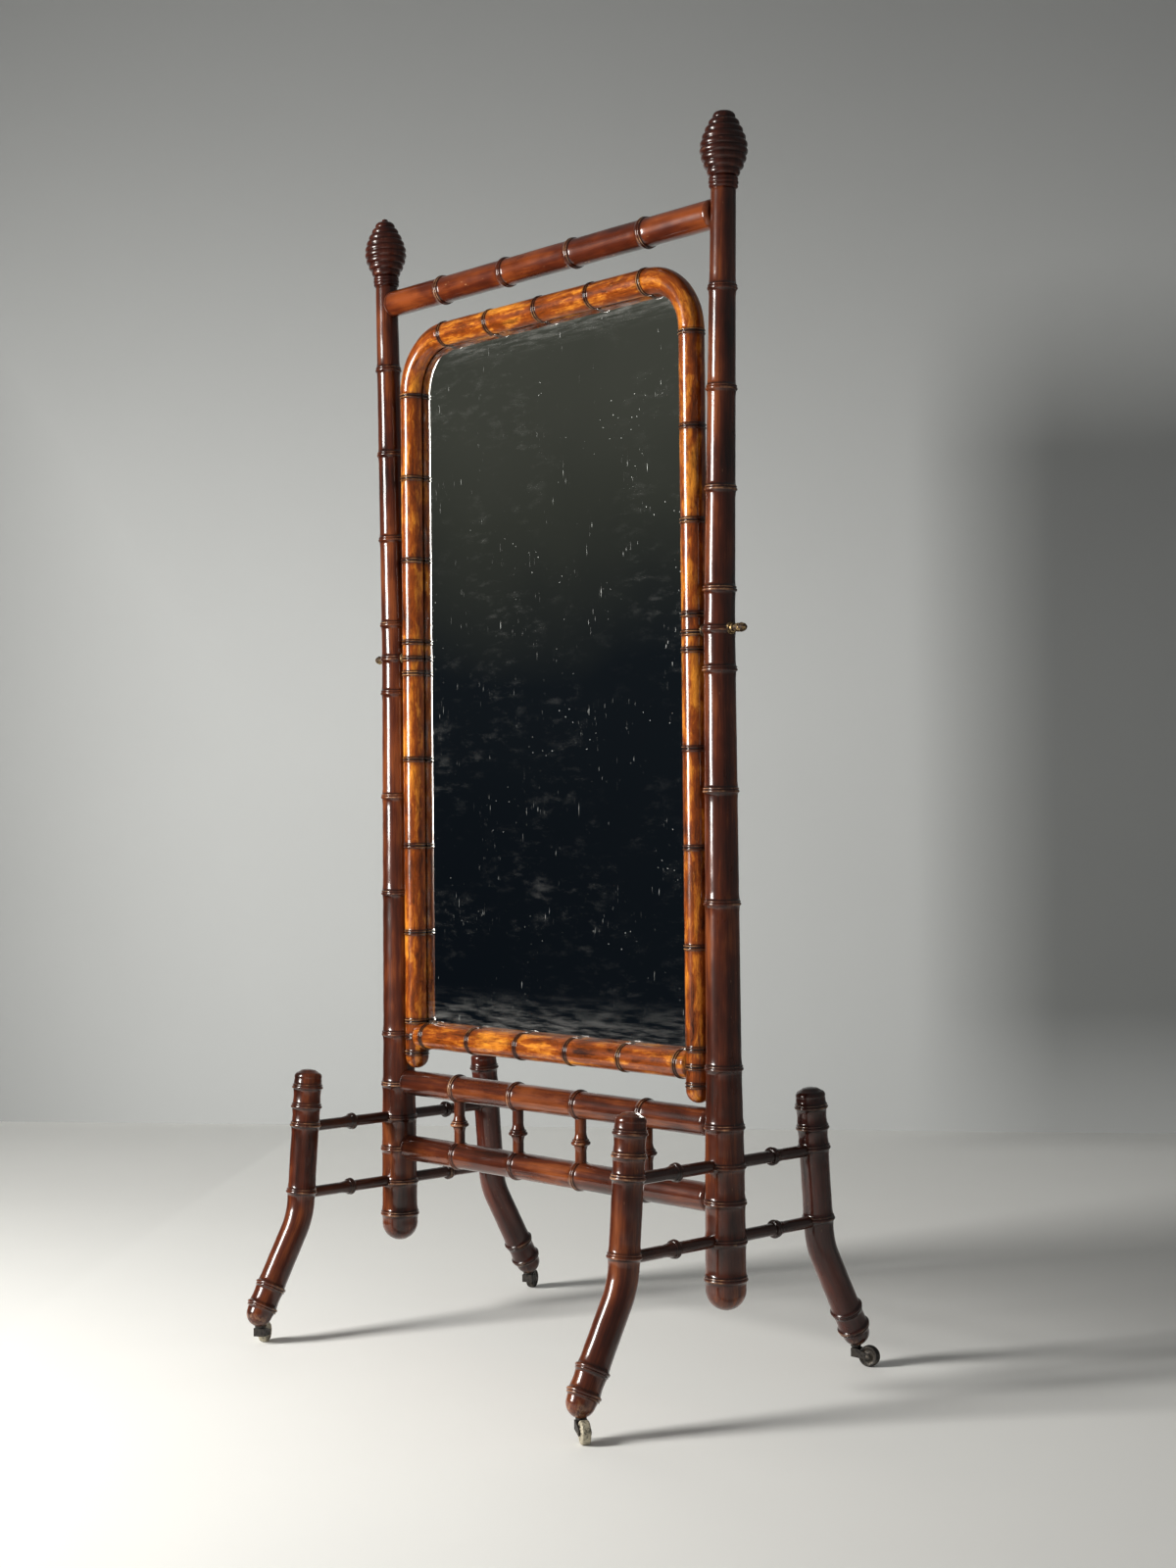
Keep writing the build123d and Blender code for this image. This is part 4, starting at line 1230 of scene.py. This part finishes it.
    def build_glass(self, finish: bpy.types.Material) -> None:
        """The plate: a flat face, a ground bevel round it, a thin edge and its back.

        Args:
            finish: the plate's finish.
        """
        levels = [
            (self.glass_inset + 120, self.glass_y), (self.glass_inset + self.bevel, self.glass_y),
            (self.glass_inset, self.glass_y + self.bevel_depth), (self.glass_inset, self.board_y),
            (self.glass_inset + self.bevel, self.board_y),
        ]
        rows, edges = [], []
        for inset, y in levels:
            ring = self.loop(min(inset, self.corner_r - 2))
            if inset > self.corner_r - 2:
                centre = np.array([0.0, (self.top + self.bottom) / 2])
                ring = centre + (ring - centre) * self.plate_middle
            rows.append(np.stack([ring[:, 0], np.full(len(ring), y), ring[:, 1] + self.pivot_z], -1))
            edges.append(np.full(len(ring), (inset - self.glass_inset) * MM))
        points, edge = np.array(rows) * MM, np.array(edges)
        piece = make_piece("mirror_plate", points, points, {"edge": edge})
        piece.data.polygons.foreach_set("use_smooth", [False] * len(piece.data.polygons))
        seat(piece, finish, "mirror", "silvered_glass", ("mirror_glass",))

    def top_of(self, x: float, inset: float) -> float:
        """The height of the outline's upper edge.

        Args:
            x: the distance from the middle.
            inset: how far inside the centre line the outline runs.

        Returns:
            The height, about the pivot.
        """
        half, high, r = self.stile_x - inset, self.top - inset, self.corner_r - inset
        over = max(0.0, abs(x) - (half - r))
        return high - r + math.sqrt(max(0.0, r ** 2 - over ** 2))

    def build_backboard(self, finish: bpy.types.Material) -> None:
        """Upright boards with eased edges, let into the rebate.

        Args:
            finish: the boards' finish.
        """
        inset = self.board_inset + self.board_gap
        half = self.stile_x - inset
        edges = np.linspace(-half, half, self.boards + 1)
        verts, faces = [], []
        for left, right in zip(edges[:-1], edges[1:]):
            near, far = left + self.board_seam, right - self.board_seam
            outline = [(far, self.bottom + inset), (near, self.bottom + inset)]
            outline += [(x, self.top_of(x, inset)) for x in np.linspace(near, far, 13)]
            ring = np.array(outline)
            centre = ring.mean(0)
            count = len(ring)
            base = len(verts)
            rows = ((self.board_y, 0.0), (self.board_back - self.board_ease, 0.0),
                    (self.board_back, self.board_ease))
            for depth, ease in rows:
                pulled = ring + np.sign(centre - ring) * ease
                verts += [(x * MM, depth * MM, (z + self.pivot_z) * MM) for x, z in pulled]
            for row in range(len(rows) - 1):
                for k in range(count):
                    a, b = base + row * count + k, base + row * count + (k + 1) % count
                    faces.append((a, b, b + count, a + count))
            faces.append(tuple(base + k for k in range(count))[::-1])
            faces.append(tuple(base + 2 * count + k for k in range(count)))
        seat(linked("back_boards", verts, faces), finish, "mirror", "pine_board", ("backboard",))

    def build_screws(self, finish: bpy.types.Material) -> None:
        """Slotted heads, flush in the back, each slot turned its own way.

        Args:
            finish: the screws' finish.
        """
        rng = np.random.default_rng(5)
        x, count, inset = self.stile_x - self.screw_inset, self.screw_segments, self.screw_inset
        places = [(side * x, z) for side in (-1, 1) for z in self.side_screws]
        places += [(side * self.end_screw_x, z) for side in (-1, 1)
                   for z in (self.bottom + inset, self.top - inset)]
        radii, verts, faces = np.linspace(0.05, self.screw_r, self.screw_rows), [], []
        turns = np.linspace(0, 2 * math.pi, count, endpoint=False)
        for x, z in places:
            slot_turn = rng.uniform(0, math.pi)
            base = len(verts)
            for radius in radii:
                for turn in turns:
                    off = abs(radius * math.sin(turn - slot_turn))
                    depth = self.slot_depth if off < self.slot_half else 0.0
                    y = self.board_back - 0.05 - depth - self.screw_dome * (radius / self.screw_r) ** 4
                    verts.append(((x + radius * math.cos(turn)) * MM, y * MM,
                                  (z + self.pivot_z + radius * math.sin(turn)) * MM))
            for row in range(len(radii) - 1):
                for k in range(count):
                    a, b = base + row * count + k, base + row * count + (k + 1) % count
                    faces.append((a, a + count, b + count, b))
            faces.append(tuple(base + k for k in range(count)))
        seat(linked("back_screw_heads", verts, faces), finish, "mirror", "steel_screw", ("backboard_screws",))


@dataclass
class Thumbscrew:
    """A turned brass knob with a reeded cap, in millimetres."""

    pivot_z: float = 1076.0
    start: float = 392.2
    length: float = 26.5
    reeds: int = 14
    reed_depth: float = 0.045
    cap_from: float = 15.0
    cap_to: float = 18.5

    def build(self, name: str, side: int, finish: bpy.types.Material) -> None:
        """One knob on the outside of its post.

        Args:
            name: left or right.
            side: -1 or 1.
            finish: its finish.
        """
        shape = Outline(2.0, self.start).line(6.8, self.start + 0.01).bead(5.0, self.start + 4, 1.0)
        shape.line(4.4, self.start + 6).bead(5.0, self.start + 14, 1.6).line(6.4, self.start + 15)
        shape.bead(6.0, self.start + 18, 0.6, 0.5).bead(2.6, self.start + 24.5, 1.0)
        shape.cap(self.start + self.length)

        def reeded(at: np.ndarray, _: np.ndarray, flat: np.ndarray) -> np.ndarray:
            """Cuts the reeds into the cap.

            Args:
                at: distances along the knob.
                _: its radii, which the reeds don't follow.
                flat: the section's points.

            Returns:
                The points with the reeds cut in.
            """
            angle = np.arctan2(flat[..., 1], flat[..., 0])
            band = ((at > self.start + self.cap_from) & (at < self.start + self.cap_to))[:, None]
            hollow = 0.5 - 0.5 * np.cos(angle * self.reeds)
            return flat * (1 - band * self.reed_depth * hollow)[..., None]

        path = straight((0, 0, self.pivot_z), (side, 0, 0), (0, 0, 1))
        Turning(f"{name}_thumbscrew_turned", shape, path, finish, f"{name}_screw", "aged_brass",
                (f"{name}_thumbscrew",), 0.05, 84, section=reeded).build()


@dataclass
class Caster:
    """A small wheel with a crowned, worn tread, in millimetres."""

    radius: float = 15.5
    half: float = 6.0
    trail: float = 21.5
    post_x: float = Stand.post_x
    toe_y: float = Stand.leg_bend[0] + (Stand.leg_bend[1] - Stand.toe_z) * math.tan(Stand.lower_lean)
    dish: float = 1.2
    hub_r: float = 5.5
    rim_r: float = 12.0
    tread: float = 1.4
    headings: dict = field(default_factory=lambda: {
        "front_left": 124.0, "front_right": -31.0, "back_left": 118.0, "back_right": 16.0})

    def build_wheel(self, end: str, name: str, finish: bpy.types.Material) -> None:
        """One wheel, dished at both sides round its hub.

        Args:
            end: front or back.
            name: left or right.
            finish: its finish.
        """
        key = f"{end}_{name}"
        turn = math.radians(self.headings[key])
        centre = (SIDES[name] * self.post_x + self.trail * math.cos(turn),
                  ENDS[end] * self.toe_y + self.trail * math.sin(turn), self.radius)
        axle = (-math.sin(turn), math.cos(turn), 0.0)
        h, dish, hub, rim = self.half, self.half - self.dish, self.hub_r, self.rim_r
        edge = self.radius - self.tread
        shape = Outline(2.1, -h).line(hub, -h).line(hub + 1, -dish).line(rim - 1, -dish).line(rim, -h)
        shape.line(edge, -h).bead(self.radius - 0.1, -h + 2.2, 0.35, 0.0).line(self.radius, 0)
        shape.line(self.radius - 0.1, h - 2.2).bead(edge, h, 0.35, 0.0)
        shape.line(rim, h).line(rim - 1, dish).line(hub + 1, dish).line(hub, h).line(2.1, h)
        Turning(f"{key}_wheel_turned", shape, straight(centre, axle, (0, 0, 1)), finish, f"{key}_wheel",
                "caster_brass", (f"{key}_caster_wheel",), 0.1, 64).build()


@dataclass
class Studio:
    """Camera, lamps, floor, wall and the dark cards that reflections see, in metres."""

    lens: float = 50.635
    yaw: float = math.radians(-46.95567)
    pitch: float = math.radians(-0.7447375)
    roll: float = math.radians(-0.53152208)
    eye: tuple = (2.4947, -2.2422, 0.8205)
    wall_distance: float = 5.76
    wall_turn: float = 0.1355
    key_turn: float = math.radians(-113.0)
    key_power: float = 182.0
    key_distance: float = 3.0
    key_height: float = 1.5
    key_aim: float = 1.0
    key_size: tuple = (0.85, 1.5)
    key_colour: tuple = (1.0, 0.97, 0.93)
    world_colour: tuple = (1.0, 0.99, 0.98, 1.0)
    world_strength: float = 0.17
    floor_half: float = 9.0
    wall_half: float = 7.0
    wall_height: float = 5.0
    card_turn: float = math.radians(-138)
    card_distance: float = 3.2
    card_half: float = 2.4
    card_height: float = 4.0
    card_near: float = 0.28
    card_lift: float = 0.004
    flag_foot: tuple = ((-1.0, 1.06), (1.0, 2.7))
    flag_heights: tuple = (0.42, 1.86)
    ahead: Vector = field(init=False)
    right: Vector = field(init=False)

    def build_camera(self) -> None:
        """The camera at the photograph's viewpoint."""
        cy, sy = math.cos(self.yaw), math.sin(self.yaw)
        cp, sp = math.cos(self.pitch), math.sin(self.pitch)
        cr, sr = math.cos(self.roll), math.sin(self.roll)
        turn = Matrix(((cy, -sy, 0), (sy, cy, 0), (0, 0, 1)))
        base = Matrix(((1, 0, 0), (0, 0, -1), (0, 1, 0)))
        tilt = Matrix(((1, 0, 0), (0, cp, -sp), (0, sp, cp)))
        spin = Matrix(((cr, -sr, 0), (sr, cr, 0), (0, 0, 1)))
        right, down, ahead = spin @ tilt @ base @ turn
        data = bpy.data.cameras.new("camera")
        data.lens = self.lens
        data.sensor_width = 36.0
        data.sensor_fit = "AUTO"
        camera = bpy.data.objects.new("camera", data)
        bpy.context.scene.collection.objects.link(camera)
        facing = Matrix((right, -down, -ahead)).transposed().to_4x4()
        camera.matrix_world = Matrix.Translation(self.eye) @ facing
        bpy.context.scene.camera = camera
        self.ahead, self.right = Vector(ahead), Vector(right)

    def build_lamps(self) -> None:
        """A tall soft key from the left, and a weak world all round."""
        direction = Vector((math.cos(self.key_turn), math.sin(self.key_turn), 0))
        place = direction * self.key_distance + Vector((0, 0, self.key_height))
        data = bpy.data.lights.new("key", "AREA")
        data.shape = "RECTANGLE"
        data.size, data.size_y = self.key_size
        data.energy = self.key_power
        data.color = self.key_colour
        lamp = bpy.data.objects.new("key", data)
        lamp.location = place
        lamp.rotation_mode = "QUATERNION"
        lamp.rotation_quaternion = (Vector((0, 0, self.key_aim)) - place).to_track_quat("-Z", "Y")
        bpy.context.scene.collection.objects.link(lamp)
        world = bpy.data.worlds.new("world")
        world.use_nodes = True
        background = world.node_tree.nodes["Background"]
        background.inputs["Color"].default_value = self.world_colour
        background.inputs["Strength"].default_value = self.world_strength
        bpy.context.scene.world = world

    def sheet(self, name: str, corners: list, material: bpy.types.Material) -> bpy.types.Object:
        """A flat stage piece from four corners.

        Args:
            name: its name.
            corners: its four corners in order.
            material: its material.

        Returns:
            The sheet.
        """
        piece = linked(name, corners, [(0, 1, 2, 3)])
        piece.data.materials.append(material)
        return piece

    def plaster(self, name: str, colour: tuple, one_sided: bool) -> bpy.types.Material:
        """A plain matt surface with the faintest mottling; where one-sided, clear from behind and with
        painted shade.

        Args:
            name: the material's name.
            colour: its colour.
            one_sided: whether it is the wall, which gets painted shade upwards and to the left.

        Returns:
            The material.
        """
        g = Graph(name)
        cloud = g.noise(g.place(), (1.3, 1.3, 1.3), 3.0)
        tone = g.mix(cloud, colour, tuple(c * 0.93 for c in colour[:3]) + (1.0,))
        if one_sided:
            # Painted shade: the wall darkens upwards and towards its left end, as the light falls off there.
            left = 1 - g.axis("X").between(-3.5, -2.35)
            dark = (g.axis("Z").between(0.9, 3.3) * 0.75).larger(left * 0.7)
            tone = g.mix(dark, tone, tuple(c * 0.3 for c in colour[:3]) + (1.0,))
        shader = g.node("ShaderNodeBsdfPrincipled", {"Base Color": tone, "Roughness": 0.75})
        if one_sided:
            behind = g.node("ShaderNodeNewGeometry", output="Backfacing")
            clear = g.node("ShaderNodeBsdfTransparent")
            shader = g.node("ShaderNodeMixShader", {0: behind, 1: shader, 2: clear})
        g.node_output(shader)
        return g.material

    def dark_card(self) -> bpy.types.Material:
        """The cards' own tone: grey-green above, nearly black below.

        Returns:
            The material.
        """
        g = Graph("dark_card")
        cloud = g.noise(g.place(), (1.1, 1.1, 0.8), 3.0)
        height = g.axis("Z").between(0.0, 2.9) + (cloud - 0.5) * 0.45
        tone = g.ramp(height, [
            (0.0, srgb(14, 19, 25)), (0.38, srgb(22, 27, 32)),
            (0.66, srgb(57, 59, 54)), (1.0, srgb(82, 83, 76)),
        ])
        g.node_output(g.node("ShaderNodeEmission", {"Color": tone, "Strength": 1.0}))
        return g.material

    def build_stage(self) -> None:
        """Floor, wall, an unseen flag against the key, and the cards that only reflections see."""
        flat_ahead = Vector((self.ahead.x, self.ahead.y, 0)).normalized()
        flat_right = Vector((self.right.x, self.right.y, 0)).normalized()
        floor = self.plaster("floor_paint", srgb(240, 241, 238), False)
        end = self.floor_half
        self.sheet("floor", [(-end, -end, 0), (end, -end, 0), (end, end, 0), (-end, end, 0)], floor)
        foot = Vector((self.eye[0], self.eye[1], 0)) + flat_ahead * self.wall_distance
        along = flat_right - flat_ahead * self.wall_turn
        low_left, low_right = foot - along * self.wall_half, foot + along * self.wall_half
        up = Vector((0, 0, self.wall_height))
        wall = self.plaster("wall_paint_with_painted_shade", srgb(192, 195, 195), True)
        self.sheet("wall", [low_left, low_right, low_right + up, low_left + up], wall)
        (x0, y0), (x1, y1) = self.flag_foot
        low, high = self.flag_heights
        flag = self.sheet("flag", [(x0, y0, low), (x1, y1, low), (x1, y1, high), (x0, y0, high)], floor)
        flag.visible_camera = flag.visible_diffuse = flag.visible_glossy = False
        middle = Vector((math.cos(self.card_turn), math.sin(self.card_turn), 0)) * self.card_distance
        across = Vector((-middle.y, middle.x, 0)).normalized() * self.card_half
        up = Vector((0, 0, self.card_height))
        upright = self.sheet("upright_card", [middle - across, middle + across, middle + across + up,
                                              middle - across + up], self.dark_card())
        lift = Vector((0, 0, self.card_lift))
        near, far = middle * self.card_near + lift, middle + lift
        flat = self.sheet("flat_card", [far - across, far + across, near + across, near - across],
                          self.dark_card())
        for piece in (upright, flat):
            piece.visible_camera = piece.visible_diffuse = piece.visible_shadow = False
            piece.visible_transmission = piece.visible_volume_scatter = False


def finishes() -> dict:
    """Every finish by name.

    Returns:
        The materials.
    """
    stand = PolishedWood(
        "stand_mahogany", srgb(31, 12, 7), srgb(72, 30, 15), srgb(120, 62, 29), srgb(40, 16, 10),
        srgb(188, 142, 104), ring_stain=0.3, wear=0.5, nicks=0.12)
    rail = PolishedWood(
        "rail_mahogany", srgb(42, 14, 6), srgb(76, 29, 12), srgb(120, 57, 22), srgb(46, 18, 11),
        srgb(214, 168, 122), cloud=0.7, ring_stain=0.5, wear=0.5, nicks=0.6)
    frame = PolishedWood(
        "frame_wood", srgb(42, 14, 4), srgb(130, 60, 12), srgb(222, 142, 44), srgb(40, 15, 9),
        srgb(214, 160, 100), cloud=0.45, figure=0.6, ring_stain=0.8, wear=0.45, nicks=0.2)
    knob = PolishedWood(
        "finial_mahogany", srgb(26, 9, 6), srgb(54, 21, 13), srgb(82, 36, 22), srgb(34, 13, 10),
        srgb(150, 104, 80), ring_stain=0.2, wear=0.45, nicks=0.1, rough=0.34, coat=0.55)
    rod = PolishedWood(
        "rod_mahogany", srgb(30, 13, 9), srgb(52, 24, 15), srgb(78, 39, 24), srgb(30, 14, 10),
        srgb(168, 132, 100), ring_stain=0.4, wear=0.4, nicks=0.1)
    # A darker copy of the stand's mahogany for the back legs: painted shade.
    back = PolishedWood(
        "back_leg_shaded_mahogany", srgb(34, 13, 10), srgb(62, 26, 18), srgb(88, 38, 24), srgb(36, 16, 12),
        srgb(176, 134, 100), ring_stain=0.5, wear=0.35, nicks=0.15)
    others = {
        "glass": OldSilvering("silvered_glass", srgb(226, 227, 223), srgb(190, 195, 192), 0.4765, 1.5745),
        "board": Softwood("pine_board", srgb(132, 98, 64), srgb(88, 58, 35)),
        "block": Softwood("pine_block", srgb(196, 154, 102), srgb(150, 104, 60), 0.15),
        "brass": AgedMetal("aged_brass", srgb(186, 156, 108), srgb(50, 36, 24), tarnish=0.75),
        "iron": AgedMetal("caster_iron", srgb(62, 58, 54), srgb(26, 24, 22), 0.75, 0.45),
        "wheel": AgedMetal("caster_brass", srgb(176, 168, 146), srgb(92, 88, 76), 0.25, 0.5, 0.4),
        # A darker copy of the wheels' finish for the back wheels: painted shade.
        "shaded_back_wheel": AgedMetal("caster_brass_shaded", srgb(70, 64, 56), srgb(26, 24, 22), 0.6, 0.42, 0.6),
        "steel": AgedMetal("steel_screw", srgb(120, 114, 106), srgb(54, 46, 40), 0.9, 0.38),
    }
    found = {wood.name: wood.material() for wood in (stand, rail, frame, knob, rod, back)}
    found.update({name: finish.material() for name, finish in others.items()})
    return found


def dress_nodes(frame: dict, look: dict) -> None:
    """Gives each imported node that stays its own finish.

    Args:
        look: the finishes by name.
    """
    wanted = {
        "collar": "iron", "horn": "iron", "axle": "steel", "bush": "brass", "pivot_plate_screws": "steel",
        "plate": "brass", "shaft": "steel", "blocks": "block",
    }
    for name, node in frame["nodes"].items():
        if node.hide_render:
            continue
        finish = next((look[key] for word, key in wanted.items() if word in name), None)
        if finish is None:
            continue
        node.data.materials.clear()
        node.data.materials.append(finish)
        log.info("%s dressed", name)


def main() -> None:
    """Builds the studio and every piece in order."""
    logging.basicConfig(level=logging.INFO, format="%(message)s")
    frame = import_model()
    bpy.context.scene.view_settings.view_transform = "Standard"
    studio = Studio()
    studio.build_camera()
    studio.build_lamps()
    studio.build_stage()
    look = finishes()
    stand = Stand()
    stand.build_posts(look["stand_mahogany"], look["finial_mahogany"])
    stand.build_rails({
        "top_rail": (look["rail_mahogany"], "rail_mahogany"),
        "upper_stretcher": (look["stand_mahogany"], "stand_mahogany"),
        "lower_stretcher": (look["stand_mahogany"], "stand_mahogany"),
    })
    stand.build_spindles(look["stand_mahogany"])
    stand.build_legs(look["stand_mahogany"], look["back_leg_shaded_mahogany"], look["rod_mahogany"])
    swing = SwingFrame()
    swing.build_frame(look["frame_wood"])
    swing.build_glass(look["glass"])
    swing.build_backboard(look["board"])
    swing.build_screws(look["steel"])
    for name, side in SIDES.items():
        Thumbscrew().build(name, side, look["brass"])
    caster = Caster()
    for end in ENDS:
        for name in SIDES:
            # The back wheels take the darker copy, which paints shade on them.
            caster.build_wheel(end, name, look["wheel" if end == "front" else "shaded_back_wheel"])
    dress_nodes(frame, look)


if __name__ == "__main__":
    main()
